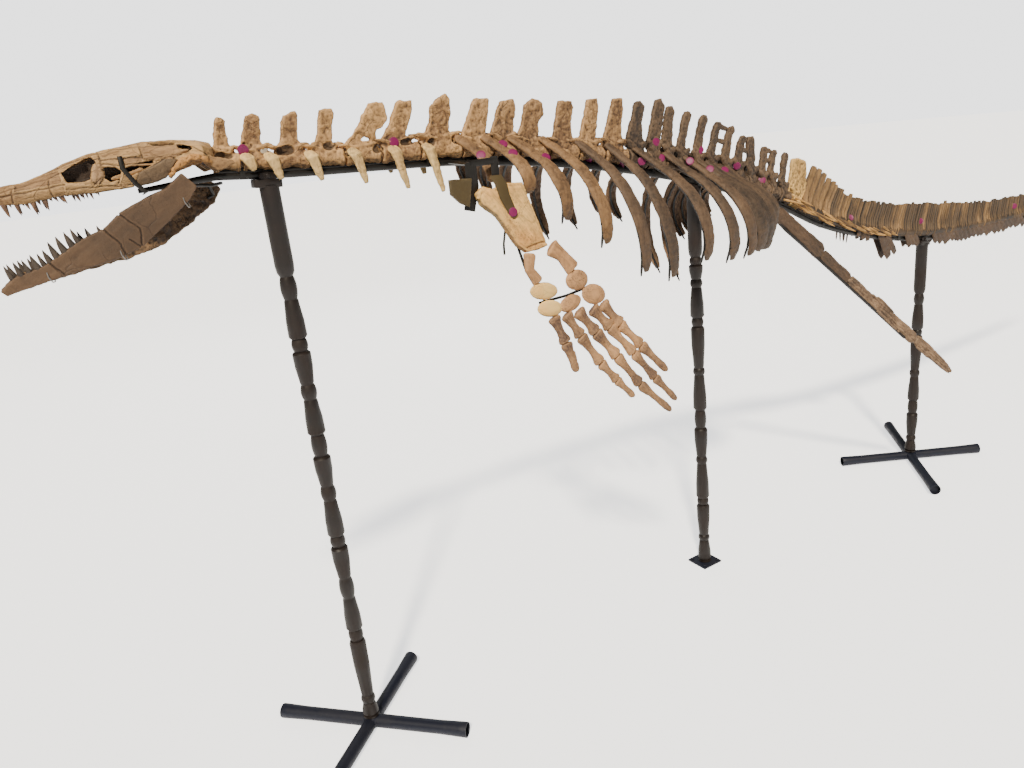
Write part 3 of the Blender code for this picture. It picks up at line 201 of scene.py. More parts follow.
# Seams between the planks of the skull's side, as lines of (x, z)
SEAMS = (
    ((-1.800, 1.461), (-1.745, 1.466), (-1.700, 1.4735), (-1.660, 1.482), (-1.641, 1.488)),
    ((-1.792, 1.4555), (-1.720, 1.4595), (-1.665, 1.4640), (-1.640, 1.4665)),
    ((-1.6645, 1.482), (-1.668, 1.466), (-1.664, 1.445)),
    ((-1.728, 1.469), (-1.731, 1.445)),
    ((-1.640, 1.4570), (-1.594, 1.4555), (-1.525, 1.4510)),
    ((-1.690, 1.4855), (-1.640, 1.498), (-1.590, 1.5130), (-1.572, 1.515), (-1.540, 1.5195), (-1.497, 1.5205),
     (-1.433, 1.5175)),
    ((-1.572, 1.522), (-1.5705, 1.503), (-1.533, 1.5015), (-1.500, 1.5005), (-1.496, 1.4955),
     (-1.427, 1.4980)),
    ((-1.497, 1.520), (-1.4985, 1.501)),
    ((-1.571, 1.4955), (-1.534, 1.4885), (-1.500, 1.4905), (-1.470, 1.4930)),
    ((-1.534, 1.5020), (-1.5345, 1.4885)),
    ((-1.522, 1.4465), (-1.512, 1.4720), (-1.451, 1.4965), (-1.438, 1.4880), (-1.461, 1.4550)),
    ((-1.596, 1.4580), (-1.574, 1.4720), (-1.571, 1.5020)),
    ((-1.560, 1.4865), (-1.545, 1.4700), (-1.552, 1.4560)),
    ((-1.433, 1.5175), (-1.400, 1.5085), (-1.376, 1.4900)),
)
UPPER_TEETH_X = (-1.792, -1.772, -1.750, -1.729, -1.714, -1.702, -1.682, -1.665, -1.654, -1.629,
                 -1.618, -1.605, -1.592)
UPPER_TOOTH_LENGTHS = (0.017, 0.018, 0.024, 0.021, 0.012, 0.023, 0.020, 0.009, 0.015, 0.016, 0.012, 0.014,
                       0.008)
LOWER_TEETH_X = (-1.772, -1.756, -1.742, -1.726, -1.714, -1.704, -1.690, -1.675, -1.660, -1.648,
                 -1.626, -1.608)
LOWER_TOOTH_LENGTHS = (0.026, 0.026, 0.024, 0.027, 0.018, 0.024, 0.030, 0.030, 0.028, 0.026, 0.010, 0.009)

# Left lower jaw seen from its side: (x, z), the upper edge from the tip back, then the lower edge
JAW_UPPER = ((-1.792, 1.288), (-1.765, 1.310), (-1.712, 1.323), (-1.673, 1.343), (-1.642, 1.360),
             (-1.593, 1.378), (-1.560, 1.402), (-1.509, 1.424), (-1.468, 1.438), (-1.435, 1.4625))
JAW_LOWER = ((-1.413, 1.4345), (-1.429, 1.411), (-1.482, 1.370), (-1.5355, 1.332), (-1.588, 1.3166),
             (-1.645, 1.306), (-1.700, 1.296), (-1.757, 1.284), (-1.784, 1.278))
JAW_THICKNESS = 0.018
JAW_SPREAD = ((-1.80, 0.022), (-1.60, 0.046), (-1.38, 0.080))
JAW_TIP_X = -1.79
RIGHT_JAW_STRETCH, RIGHT_JAW_SINK = 1.20, 0.050
# Breaks across the left jaw, each a line of (x, z) points, and their width
JAW_BREAKS = (((-1.602, 1.384), (-1.574, 1.344), (-1.562, 1.305)),
              ((-1.568, 1.405), (-1.533, 1.368), (-1.536, 1.322)),
              ((-1.556, 1.351), (-1.526, 1.322)), ((-1.704, 1.330), (-1.681, 1.301), (-1.672, 1.280)))

# Front paddle: its sloping plane, then outlines and joints as (x, z) in that plane
PADDLE_TOP_Z, PADDLE_Y, PADDLE_SLOPE = 1.30, -0.130, 0.22
HUMERUS = ((-0.807, 1.338), (-0.789, 1.352), (-0.764, 1.341), (-0.745, 1.350), (-0.680, 1.347),
           (-0.667, 1.297), (-0.652, 1.228), (-0.644, 1.190), (-0.704, 1.184), (-0.727, 1.204),
           (-0.747, 1.245), (-0.765, 1.280), (-0.800, 1.311))
SHOULDER_BLADE = ((-0.872, 1.378), (-0.812, 1.375), (-0.826, 1.310), (-0.850, 1.322), (-0.872, 1.344))
BLADE_Y = -0.118
RADIUS_BONE = ((-0.697, 1.1776, 0.015), (-0.706, 1.143, 0.010), (-0.690, 1.1125, 0.013))
ULNA_BONE = ((-0.629, 1.184, 0.021), (-0.604, 1.160, 0.014), (-0.580, 1.1235, 0.019))
# Wrist bones: (x, z, half length, half height, turn in degrees)
WRIST = ((-0.678, 1.086, 0.034, 0.0210, -8), (-0.671, 1.0415, 0.031, 0.0205, -8),
         (-0.574, 1.094, 0.029, 0.0255, 0), (-0.608, 1.042, 0.029, 0.0195, 12),
         (-0.532, 1.050, 0.031, 0.0260, -12))
FINGERS = (
    (((-0.666, 1.0195), (-0.646, 0.950), (-0.631, 0.875)), 0.0125),
    (((-0.628, 1.0185), (-0.597, 0.957), (-0.553, 0.877), (-0.514, 0.823), (-0.470, 0.769)), 0.0125),
    (((-0.590, 1.0190), (-0.549, 0.956), (-0.498, 0.882), (-0.442, 0.794), (-0.356, 0.700)), 0.0135),
    (((-0.545, 1.0165), (-0.502, 0.959), (-0.442, 0.877), (-0.388, 0.799), (-0.331, 0.724)), 0.0125),
    (((-0.511, 1.0220), (-0.468, 0.959), (-0.413, 0.892), (-0.343, 0.807)), 0.0130),
)

# Hind limb: its line, then its bones as (name, solid, start, end, half width, half thickness, sink)
LIMB_TOP, LIMB_TIP = Vector((0.345, -0.064, 1.108)), Vector((0.9425, -0.297, 0.4855))
LIMB_BONES = (
    ("thigh", "left_thigh_bone", -0.0400, 0.2050, 0.0285, 0.0110, 0.007),
    ("shin", "left_shin_bone", 0.2055, 0.3650, 0.0225, 0.0095, 0.010),
    ("ankle", "left_ankle_bone", 0.3655, 0.5000, 0.0215, 0.0090, 0.010),
    ("foot", "left_foot_bone", 0.5005, 0.7700, 0.0235, 0.0090, 0.007),
    ("toe", "left_toe_bone", 0.7705, 1.0000, 0.0215, 0.0080, 0.003),
)

# Stand
POST_X = {"front": -1.25, "middle": 0.010, "rear": 1.21}
BEADS = {
    "front": ((0.0555, 0.014), (0.260, 0.018), (0.402, 0.031), (0.538, 0.017), (0.672, 0.021),
              (0.800, 0.030), (0.937, 0.020), (1.052, 0.017), (1.187, 0.028)),
    "middle": ((0.058, 0.012), (0.197, 0.014), (0.350, 0.014), (0.498, 0.034), (0.663, 0.013),
               (0.827, 0.016), (0.952, 0.014), (1.022, 0.013)),
    "rear": ((0.060, 0.013), (0.200, 0.030), (0.346, 0.016), (0.518, 0.014), (0.655, 0.022)),
}
POST_RADIUS, POST_NECK, POST_BEAD = 0.0215, 0.0140, 0.0190
LEGS = {"front": ((41, 0.270), (133, 0.275)), "rear": ((48, 0.330), (148, 0.285))}
LEG_RADIUS, LEG_WALL = 0.0200, 0.0028
BAR_RADIUS = ((-1.53, 0.0042), (-1.36, 0.008), (-1.00, 0.008), (-0.50, 0.009), (0.50, 0.0085), (1.00, 0.0075),
              (2.93, 0.005))
BAR_CLEARANCE = 0.0020
BAR_NOSE = (-1.530, 1.4350)
BAR_ENDS = (-1.512, -0.770, 0.480, 1.620, 2.860)
CORE_SIDES = 8
ROD_RADIUS, ROD_PAST_TIP = 0.0034, 0.018
CRADLE = (0.030, 0.0175, 0.009)

# Camera, which looks at the object as the photograph does
CAMERA_PLACE = Vector((-1.7659, -1.7991, 1.540))
CAMERA_RIGHT = Vector((0.8386, -0.5350, -0.1027))
CAMERA_UP = Vector((0.2525, 0.2146, 0.9435))
CAMERA_AHEAD = Vector((0.48267, 0.81718, -0.31504))
LENS_MM, SENSOR_MM = 28.125, 36.0
PICTURE_WIDTH, PICTURE_HEIGHT = 1024, 768
# Paint dabs, by where the photograph shows them: (across, down), counted in picture points
DABS = ((243, 150), (394, 142), (481, 155), (503, 144), (513, 153), (546, 157), (588, 160), (620, 165),
        (642, 161), (656, 142), (661, 158), (690, 161), (700, 150), (710, 169), (725, 170), (737, 166),
        (762, 180), (850, 218), (920, 221), (1014, 206))
WHITE_DABS = ((264, 151),)
BOLT_DAB = (513, 212)

FINE, PLAIN = 0.0020, 0.0026


def along(table, x):
    """Straight-line value of a table of (x, value) rows."""
    if x <= table[0][0]:
        return table[0][1]
    for (x0, v0), (x1, v1) in zip(table, table[1:]):
        if x <= x1:
            return v0 + (v1 - v0) * (x - x0) / (x1 - x0)
    return table[-1][1]


def axis_slope(i):
    low, high = AXIS[max(i - 1, 0)], AXIS[min(i + 1, len(AXIS) - 1)]
    return (high[1] - low[1]) / (high[0] - low[0])


def axis_z(x):
    """Height of the centra's axis, a smooth curve through the AXIS points."""
    x = min(max(x, AXIS[0][0]), AXIS[-1][0])
    i = max(k for k in range(len(AXIS) - 1) if AXIS[k][0] <= x)
    (x0, z0), (x1, z1) = AXIS[i], AXIS[i + 1]
    step = x1 - x0
    t = (x - x0) / step
    pull = axis_slope(i) * step * (t**3 - 2 * t**2 + t) + axis_slope(i + 1) * step * (t**3 - t**2)
    return z0 * (2 * t**3 - 3 * t**2 + 1) + z1 * (3 * t**2 - 2 * t**3) + pull


def axis_frame(x):
    """The axis point at x, with the directions back along the axis and up from it."""
    reach = 0.004
    ahead = Vector((2 * reach, 0, axis_z(x + reach) - axis_z(x - reach))).normalized()
    return Vector((x, 0, axis_z(x))), ahead, Vector((-ahead.z, 0, ahead.x))


def bar_offset(x):
    """How far the iron bar's middle lies under the axis."""
    return along(CORE_RADIUS, x) * math.cos(math.pi / CORE_SIDES) + BAR_CLEARANCE + along(BAR_RADIUS, x)


def bar_point(x):
    """A point on the iron bar that runs under the centra and on under the skull."""
    if x < NECK_START:
        back = bar_point(NECK_START)
        share = (x - back.x) / (BAR_NOSE[0] - back.x)
        return Vector((x, 0, back.z + (BAR_NOSE[1] - back.z) * share))
    point, _, up = axis_frame(x)
    return point - up * bar_offset(x)


def joints_between(start, end):
    """The gaps between neighbouring vertebrae from start to end, with both ends."""
    xs = [row[0] for row in SPINES]
    middles = [(a + b) / 2 for a, b in zip(xs, xs[1:])]
    return [start] + [x for x in middles if start + 0.01 < x < end - 0.01] + [end]


# Bench work

def pick(piece, *others):
    bpy.ops.object.select_all(action="DESELECT")
    for obj in (piece, *others):
        obj.select_set(True)
    bpy.context.view_layer.objects.active = piece


def start_edit(piece):
    pick(piece)
    bpy.ops.object.mode_set(mode="EDIT")
    bpy.ops.mesh.select_mode(type="VERT")
    bpy.ops.mesh.select_all(action="SELECT")


def end_edit():
    bpy.ops.object.mode_set(mode="OBJECT")


def face_out(piece):
    start_edit(piece)
    bpy.ops.mesh.remove_doubles(threshold=1e-5)
    bpy.ops.mesh.normals_make_consistent(inside=False)
    end_edit()
    return piece


def straight_blank(sections, sides):
    """A closed bar along Z with a ring at every whole number, each resized to its section."""
    bpy.ops.object.select_all(action="DESELECT")
    bpy.ops.mesh.primitive_circle_add(vertices=sides, radius=1, fill_type="NGON")
    blank = bpy.context.object
    start_edit(blank)
    last = (1, 1)
    for step, section in enumerate(sections):
        if step:
            bpy.ops.mesh.extrude_region_move(TRANSFORM_OT_translate={"value": (0, 0, 1)})
        shares = (section[0] / last[0], section[1] / last[1], 1)
        bpy.ops.transform.resize(value=shares, center_override=(0, 0, step))
        last = section
    end_edit()
    return face_out(blank)


def lay_along(blank, frames):
    """Bends a straight blank to its line: its ring n goes to frame n, as (middle, across, up)."""
    for vert in blank.data.vertices:
        middle, across, up = frames[round(vert.co.z)]
        vert.co = middle + across * vert.co.x + up * vert.co.y
    return face_out(blank)


def bar(points, halves, wide, sides=10):
    """A bone, rod or strip through points. halves holds (half width along wide, half thickness)."""
    frames = []
    for i, point in enumerate(points):
        ahead = (points[min(i + 1, len(points) - 1)] - points[max(i - 1, 0)]).normalized()
        across = (wide - ahead * wide.dot(ahead)).normalized()
        frames.append((point, across, ahead.cross(across)))
    return lay_along(straight_blank(halves, sides), frames)


def shaped_blank(rings):
    """A closed skin through rings of points, extruded ring by ring and then set to their places."""
    sides = len(rings[0])
    blank = straight_blank([(1, 1)] * len(rings), sides)
    for vert in blank.data.vertices:
        turn = math.atan2(vert.co.y, vert.co.x) / (2 * math.pi) * sides
        vert.co = rings[round(vert.co.z)][round(turn - sides / 4) % sides]
    return face_out(blank)


def plate(outline, normal, thickness):
    """A flat blank cut to an outline of points and extruded to its thickness, half each way."""
    bpy.ops.object.select_all(action="DESELECT")
    bpy.ops.mesh.primitive_circle_add(vertices=len(outline), radius=1, fill_type="NGON")
    blank = bpy.context.object
    for vert, point in zip(blank.data.vertices, outline):
        vert.co = point - normal * (thickness / 2)
    start_edit(blank)
    bpy.ops.mesh.extrude_region_move(TRANSFORM_OT_translate={"value": normal * thickness})
    end_edit()
    return face_out(blank)


def block(middle, axes, halves):
    """A box blank from a cube, with its middle, three directions and three half sizes."""
    bpy.ops.object.select_all(action="DESELECT")
    bpy.ops.mesh.primitive_cube_add(size=2)
    blank = bpy.context.object
    turn = Matrix([axis * half for axis, half in zip(axes, halves)]).transposed().to_4x4()
    blank.data.transform(Matrix.Translation(middle) @ turn)
    return blank


def place_matrix(origin, x_axis, y_axis, z_axis):
    turn = Matrix((x_axis, y_axis, z_axis)).transposed().to_4x4()
    return Matrix.Translation(origin) @ turn


def copy_of(blank, matrix=None):
    """A copy with its own mesh, set to its place."""
    mesh = blank.data.copy()
    if matrix is not None:
        mesh.transform(matrix)
        if matrix.determinant() < 0:
            mesh.flip_normals()
    twin = bpy.data.objects.new(blank.name, mesh)
    bpy.context.scene.collection.objects.link(twin)
    return twin


def discard(*pieces):
    for piece in pieces:
        bpy.data.objects.remove(piece)


def join(pieces):
    pick(pieces[0], *pieces[1:])
    if len(pieces) > 1:
        bpy.ops.object.join()
    return pieces[0]


def apply_modifiers(piece):
    pick(piece)
    for modifier in list(piece.modifiers):
        bpy.ops.object.modifier_apply(modifier=modifier.name)


def relief(kind, size, depth=2):
    """A procedural texture that gives a surface its bumps."""
    texture = bpy.data.textures.new(f"{kind.lower()}_{size}", kind)
    texture.noise_scale = size
    if kind == "CLOUDS":
        texture.noise_depth = depth
    return texture


def fuse(piece, grain, smooth=2, bumps=()):
    """Melts overlapping blanks into one skin, evens it, and gives it its bumps (texture, height)."""
    remesh = piece.modifiers.new("Remesh", "REMESH")
    remesh.mode = "VOXEL"
    remesh.voxel_size = grain
    remesh.use_smooth_shade = True
    if smooth:
        even = piece.modifiers.new("Smooth", "SMOOTH")
        even.iterations = smooth
    for texture, height in bumps:
        push = piece.modifiers.new("Displace", "DISPLACE")
        push.texture = texture
        push.strength = height
        push.mid_level = 0.5
    apply_modifiers(piece)
    return piece


def cut(piece, cutters):
    for cutter in cutters:
        boolean = piece.modifiers.new("Boolean", "BOOLEAN")
        boolean.operation = "DIFFERENCE"
        boolean.solver = "EXACT"
        boolean.object = cutter
    apply_modifiers(piece)
    discard(*cutters)
    return piece


def read_points(mesh):
    """The points of a mesh and their normals, as rows."""
    places = np.empty(len(mesh.vertices) * 3, np.float32)
    normals = np.empty(len(mesh.vertices) * 3, np.float32)
    mesh.vertices.foreach_get("co", places)
    mesh.vertices.foreach_get("normal", normals)
    return places.reshape(-1, 3), normals.reshape(-1, 3)


def carve(piece, side, lines=(), width=0.0022, depth=0.0025, spots=()):
    """Cuts grooves along lines of (x, z) points and dents at spots (x, z, half x, half z, depth)."""
    mesh = piece.data
    places, normals = read_points(mesh)
    flat = places[:, [0, 2]].astype(np.float64)
    flat += 0.0008 * np.sin(flat[:, ::-1] * (150, 170) + 3.1 * np.sin(flat * 61))
    bite = np.zeros(len(flat))
    for line in lines:
        for start, end in zip(line, line[1:]):
            start, step = np.array(start), np.array(end) - np.array(start)
            share = np.clip((flat - start) @ step / (step @ step), 0, 1)
            gap = np.linalg.norm(flat - start - share[:, None] * step, axis=1)
            bite = np.maximum(bite, depth * np.clip(1 - (gap / width) ** 2, 0, None))
    for x, z, half_x, half_z, deep in spots:
        gap = ((flat[:, 0] - x) / half_x) ** 2 + ((flat[:, 1] - z) / half_z) ** 2
        bite = np.maximum(bite, deep * np.clip(1 - gap**2, 0, None))
    bite[places[:, 1] * side < 0.006] = 0
    places -= normals * bite[:, None]
    mesh.vertices.foreach_set("co", places.ravel())
    mesh.update()
    # The depth of each cut is kept, so that the finish paints shade into it.
    set_values(mesh, "dug", np.maximum(get_values(mesh, "dug"), bite / 0.0035))


def set_values(mesh, name, values):
    layer = mesh.attributes.get(name) or mesh.attributes.new(name, "FLOAT", "POINT")
    layer.data.foreach_set("value", np.clip(values, -1, 1).astype(np.float32))


def get_values(mesh, name):
    values = np.zeros(len(mesh.vertices), np.float32)
    if name in mesh.attributes:
        mesh.attributes[name].data.foreach_get("value", values)
    return values


def mark_hollows(piece, reach=0.0008, rounds=6):
    """Stores how deep each point lies in a hollow (0 to 1), and how far it stands out, for the finish, which paints
    shade into the hollows.
    """
    mesh = piece.data
    count = len(mesh.vertices)
    places, normals = read_points(mesh)
    ends = np.empty(len(mesh.edges) * 2, np.int32)
    mesh.edges.foreach_get("vertices", ends)
    ends = ends.reshape(-1, 2)
    links = np.bincount(ends.ravel(), minlength=count).clip(1)
    even = places.astype(np.float64)
    for _ in range(rounds):
        total = np.empty_like(even)
        for axis in range(3):
            total[:, axis] = (np.bincount(ends[:, 0], even[ends[:, 1], axis], count)
                              + np.bincount(ends[:, 1], even[ends[:, 0], axis], count))
        even = 0.35 * even + 0.65 * total / links[:, None]
    depth = ((even - places) * normals).sum(axis=1) / reach
    # Cut grooves and dents count as hollows and get painted shade.
    set_values(mesh, "hollow", np.maximum(depth, get_values(mesh, "dug")).clip(0))
    set_values(mesh, "ridge", -depth.clip(None, 0))


def inside(point, outline):
    """Whether a flat point lies in an outline."""
    x, z = point
    hit = False
    for (x0, z0), (x1, z1) in zip(outline, outline[1:] + outline[:1]):
        if (z0 > z) != (z1 > z) and x < (x1 - x0) * (z - z0) / (z1 - z0) + x0:
            hit = not hit
    return hit


def give_finish(piece, *finishes):
    """Gives a piece its finishes, and keeps which face has which."""
    mesh = piece.data
    numbers = np.empty(len(mesh.polygons), np.int32)
    mesh.polygons.foreach_get("material_index", numbers)
    mesh.materials.clear()
    for finish in finishes:
        mesh.materials.append(MATERIALS[finish])
    mesh.polygons.foreach_set("material_index", np.minimum(numbers, len(finishes) - 1))


def hand_over(piece, name, finish, replaced=(), hollows=True, flat=False, tint=None):
    """Names a piece, shifts it to the solids' frame and tells the frame what it is."""
    piece.name = name
    piece.data.name = name
    piece.data.transform(Matrix.Translation(DATUM))
    if hollows:
        mark_hollows(piece)
    if tint is not None:
        set_values(piece.data, "tint", np.full(len(piece.data.vertices), tint))
    give_finish(piece, *(finish if isinstance(finish, tuple) else (finish,)))
    pick(piece)
    if flat:
        bpy.ops.object.shade_smooth_by_angle(angle=math.radians(35))
    else:
        bpy.ops.object.shade_smooth()
    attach(piece, BODY)
    if replaced:
        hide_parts(*replaced)
    return piece


# Finishes

MATERIALS = {}


class Nodes:
    """Lays nodes in one tree and links them."""

    def __init__(self, tree):
        self.tree = tree

    def add(self, kind, inputs=None, **settings):
        node = self.tree.nodes.new(kind)
        for key, value in settings.items():
            setattr(node, key, value)
        for key, value in (inputs or {}).items():
            if hasattr(value, "links") or isinstance(value, bpy.types.NodeSocket):
                self.tree.links.new(value, node.inputs[key])
            else:
                node.inputs[key].default_value = value
        return node

    def math(self, operation, first, second=0.0, clamp=False):
        node = self.add("ShaderNodeMath", {0: first, 1: second}, operation=operation)
        node.use_clamp = clamp
        return node.outputs[0]

    def band(self, value, low, high):
        """0 below low, 1 above high, and an even ramp between them."""
        node = self.add("ShaderNodeMapRange", {"Value": value, "From Min": low, "From Max": high})
        return node.outputs["Result"]

    def mix(self, factor, first, second, blend="MIX"):
        node = self.add("ShaderNodeMix", data_type="RGBA", blend_type=blend)
        for key, value in ((0, factor), (6, first), (7, second)):
            if isinstance(value, bpy.types.NodeSocket):
                self.tree.links.new(value, node.inputs[key])
            else:
                node.inputs[key].default_value = value
        return node.outputs[2]

    def noise(self, place, scale, detail=4.0, rough=0.55):
        node = self.add("ShaderNodeTexNoise", {"Vector": place, "Scale": scale, "Detail": detail,
                                               "Roughness": rough})
        return node.outputs["Fac"]


def new_group(name, inputs, outputs):
    group = bpy.data.node_groups.new(name, "ShaderNodeTree")
    for label, kind, value in inputs:
        socket = group.interface.new_socket(label, in_out="INPUT", socket_type=kind)
        if value is not None:
            socket.default_value = value
    for label, kind in outputs:
        group.interface.new_socket(label, in_out="OUTPUT", socket_type=kind)
    bench = Nodes(group)
    return bench, bench.add("NodeGroupInput").outputs, bench.add("NodeGroupOutput")


def bone_group():
    """Old bone: mottled, fibrous along its grain, pitted and cracked, with painted shade in its hollows."""
    colour, number, vector = "NodeSocketColor", "NodeSocketFloat", "NodeSocketVector"
    bench, given, out = new_group(
        "weathered_bone",
        (("Place", vector, None), ("Grain place", vector, None), ("Hollow", number, 0.0),
         ("Ridge", number, 0.0),
         ("Tint", number, 0.0), ("Pale", colour, (0.6, 0.45, 0.3, 1)), ("Mid", colour, (0.4, 0.3, 0.2, 1)),
         ("Dark", colour, (0.1, 0.07, 0.05, 1)), ("Grain", number, 0.5), ("Pits", number, 0.5),
         ("Cracks", number, 0.5), ("Blotch size", number, 9.0)),
        (("Colour", colour), ("Roughness", number), ("Height", number)))
    place, grain_place = given["Place"], given["Grain place"]
    blotch = bench.band(bench.noise(place, given["Blotch size"], 5.0), 0.36, 0.64)
    blotch = bench.math("ADD", blotch, given["Tint"], True)
    stain = bench.band(bench.noise(place, 31.0, 6.0, 0.65), 0.54, 0.74)
    fibre = bench.noise(grain_place, 1.0, 5.0, 0.7)
    streak = bench.band(fibre, 0.30, 0.72)
    fine = bench.noise(place, 330.0, 3.0, 0.6)
    pit_cells = bench.add("ShaderNodeTexVoronoi", {"Vector": place, "Scale": 240.0})
    where = bench.band(bench.noise(place, 17.0, 2.0), 0.46, 0.60)
    pits = bench.math("MULTIPLY", bench.band(pit_cells.outputs["Distance"], 0.34, 0.16), where)
    pits = bench.math("MULTIPLY", pits, given["Pits"])
    bent = bench.add("ShaderNodeVectorMath",
                     {0: bench.add("ShaderNodeTexNoise", {"Vector": place, "Scale": 26.0})
                                              .outputs["Color"], 1: (0.022, 0.022, 0.022)},
                     operation="MULTIPLY")
    crack_place = bench.add("ShaderNodeVectorMath", {0: place, 1: bent.outputs[0]}, operation="ADD")
    crack_cells = bench.add("ShaderNodeTexVoronoi", {"Vector": crack_place.outputs[0], "Scale": 19.0},
                            feature="DISTANCE_TO_EDGE")
    crack = bench.band(crack_cells.outputs["Distance"], 0.020, 0.004)
    crack = bench.math("MULTIPLY", crack, bench.band(bench.noise(place, 7.0, 1.0), 0.48, 0.56))
    crack = bench.math("MULTIPLY", crack, given["Cracks"])
    tone = bench.mix(blotch, given["Mid"], given["Pale"])
    tone = bench.mix(bench.math("MULTIPLY", stain, 0.62), tone, given["Dark"])
    streaked = bench.mix(streak, (0.36, 0.31, 0.27, 1), (1.42, 1.40, 1.36, 1))
    tone = bench.mix(given["Grain"], tone, bench.mix(1.0, tone, streaked, "MULTIPLY"))
    # What stands out is painted paler, towards the pale colour.
    tone = bench.mix(bench.math("MULTIPLY", given["Ridge"], 0.60), tone, given["Pale"])
    # Pits and cracks are darkened, and hollows, grooves and dents get painted shade.
    marks = bench.math("MAXIMUM", pits, crack)
    marks_and_painted_shade = bench.math("MAXIMUM", bench.math("MULTIPLY", marks, 0.75),
                      bench.math("MULTIPLY", given["Hollow"], 0.85))
    # deep is the colour of the dark marks and of the painted shade.
    deep = bench.mix(1.0, given["Dark"], (0.42, 0.38, 0.34, 1), "MULTIPLY")
    tone = bench.mix(marks_and_painted_shade, tone, deep)
    height = bench.math("ADD", bench.math("MULTIPLY", fibre, given["Grain"]),
                        bench.math("MULTIPLY", fine, 0.35))
    height = bench.math("SUBTRACT", height, bench.math("MULTIPLY", marks, 0.9))
    rough = bench.math("ADD", bench.math("MULTIPLY", fine, 0.22), 0.58)
    for key, value in (("Colour", tone), ("Roughness", rough), ("Height", height)):
        bench.tree.links.new(value, out.inputs[key])
    return bench.tree


def iron_group():
    """Painted iron: brushed, a little rubbed where it stands out, with dust and faint scratches."""
    colour, number, vector = "NodeSocketColor", "NodeSocketFloat", "NodeSocketVector"
    bench, given, out = new_group(
        "painted_iron",
        (("Place", vector, None), ("Ridge", number, 0.0), ("Paint", colour, (0.03, 0.025, 0.02, 1)),
         ("Rubbed", colour, (0.16, 0.13, 0.11, 1)), ("Dust", colour, (0.2, 0.17, 0.14, 1))),
        (("Colour", colour), ("Roughness", number), ("Height", number)))
    place = given["Place"]
    cloud = bench.band(bench.noise(place, 14.0, 5.0), 0.40, 0.68)
    speck = bench.band(bench.noise(place, 160.0, 3.0, 0.7), 0.60, 0.72)
    stretched = bench.add("ShaderNodeVectorMath", {0: place, 1: (240.0, 240.0, 9.0)}, operation="MULTIPLY")
    brush = bench.noise(stretched.outputs[0], 1.0, 3.0)
    rubbed = bench.math("MULTIPLY", given["Ridge"], bench.band(bench.noise(place, 40.0, 3.0), 0.40, 0.60))
    tone = bench.mix(bench.math("MULTIPLY", cloud, 0.35), given["Paint"], given["Dust"])
    tone = bench.mix(bench.math("MULTIPLY", speck, 0.30), tone, given["Dust"])
    tone = bench.mix(rubbed, tone, given["Rubbed"])
    rough = bench.math("ADD", bench.math("MULTIPLY", cloud, 0.22), bench.math("MULTIPLY", brush, 0.25))
    rough = bench.math("ADD", rough, 0.34)
    height = bench.math("ADD", bench.math("MULTIPLY", brush, 0.4), bench.math("MULTIPLY", speck, 0.5))
    for key, value in (("Colour", tone), ("Roughness", rough), ("Height", height)):
        bench.tree.links.new(value, out.inputs[key])
    return bench.tree


def material_start(name):
    material = bpy.data.materials.new(name)
    material.use_nodes = True
    bench = Nodes(material.node_tree)
    shader = material.node_tree.nodes["Principled BSDF"]
    place = bench.add("ShaderNodeTexCoord").outputs["Object"]
    MATERIALS[name] = material
    return bench, shader, place


def attribute(bench, name):
    return bench.add("ShaderNodeAttribute", attribute_name=name).outputs["Fac"]


def finish_shader(bench, shader, effect, depth, strength=0.7):
    bump = bench.add("ShaderNodeBump", {"Height": effect.outputs["Height"], "Distance": depth,
                                        "Strength": strength})
    bench.tree.links.new(effect.outputs["Colour"], shader.inputs["Base Color"])
    bench.tree.links.new(effect.outputs["Roughness"], shader.inputs["Roughness"])
    bench.tree.links.new(bump.outputs["Normal"], shader.inputs["Normal"])


def bone_material(name, group, pale, mid, dark, grain=0.5, pits=0.5, cracks=0.5, turn=(0, 0, 0),
                  stretch=(14, 120, 120), blotch=9.0, depth=0.0032):
    """Bone whose fibres run along X after the turn, which is in degrees."""
    bench, shader, place = material_start(name)
    mapping = bench.add("ShaderNodeMapping", {"Vector": place, "Scale": stretch}, vector_type="POINT")
    turned = bench.add("ShaderNodeVectorRotate", {"Vector": place}, rotation_type="EULER_XYZ", invert=True)
    turned.inputs["Rotation"].default_value = [math.radians(angle) for angle in turn]
    bench.tree.links.new(turned.outputs[0], mapping.inputs["Vector"])
    effect = bench.add("ShaderNodeGroup", node_tree=group)
    values = {"Place": place, "Grain place": mapping.outputs[0], "Hollow": attribute(bench, "hollow"),
              "Ridge": attribute(bench, "ridge"), "Tint": attribute(bench, "tint")}
    for key, value in values.items():
        bench.tree.links.new(value, effect.inputs[key])
    for key, value in (("Pale", (*pale, 1)), ("Mid", (*mid, 1)), ("Dark", (*dark, 1)), ("Grain", grain),
                       ("Pits", pits), ("Cracks", cracks), ("Blotch size", blotch)):
        effect.inputs[key].default_value = value
    finish_shader(bench, shader, effect, depth)


def iron_material(name, group, paint, rubbed, dust, metallic=0.35):
    bench, shader, place = material_start(name)
    effect = bench.add("ShaderNodeGroup", node_tree=group)
    bench.tree.links.new(place, effect.inputs["Place"])
    bench.tree.links.new(attribute(bench, "ridge"), effect.inputs["Ridge"])
    for key, value in (("Paint", paint), ("Rubbed", rubbed), ("Dust", dust)):
        effect.inputs[key].default_value = (*value, 1)
    shader.inputs["Metallic"].default_value = metallic
    shader.inputs["Specular IOR Level"].default_value = 0.3
    finish_shader(bench, shader, effect, 0.0006, 0.5)


def paint_material(name, colour, roughness=0.5):
    bench, shader, place = material_start(name)
    tone = bench.mix(bench.band(bench.noise(place, 150.0, 3.0), 0.3, 0.7), (*[c * 0.75 for c in colour], 1),
                     (*colour, 1))
    bench.tree.links.new(tone, shader.inputs["Base Color"])
    shader.inputs["Roughness"].default_value = roughness


UPRIGHT = (0, -90, 0)


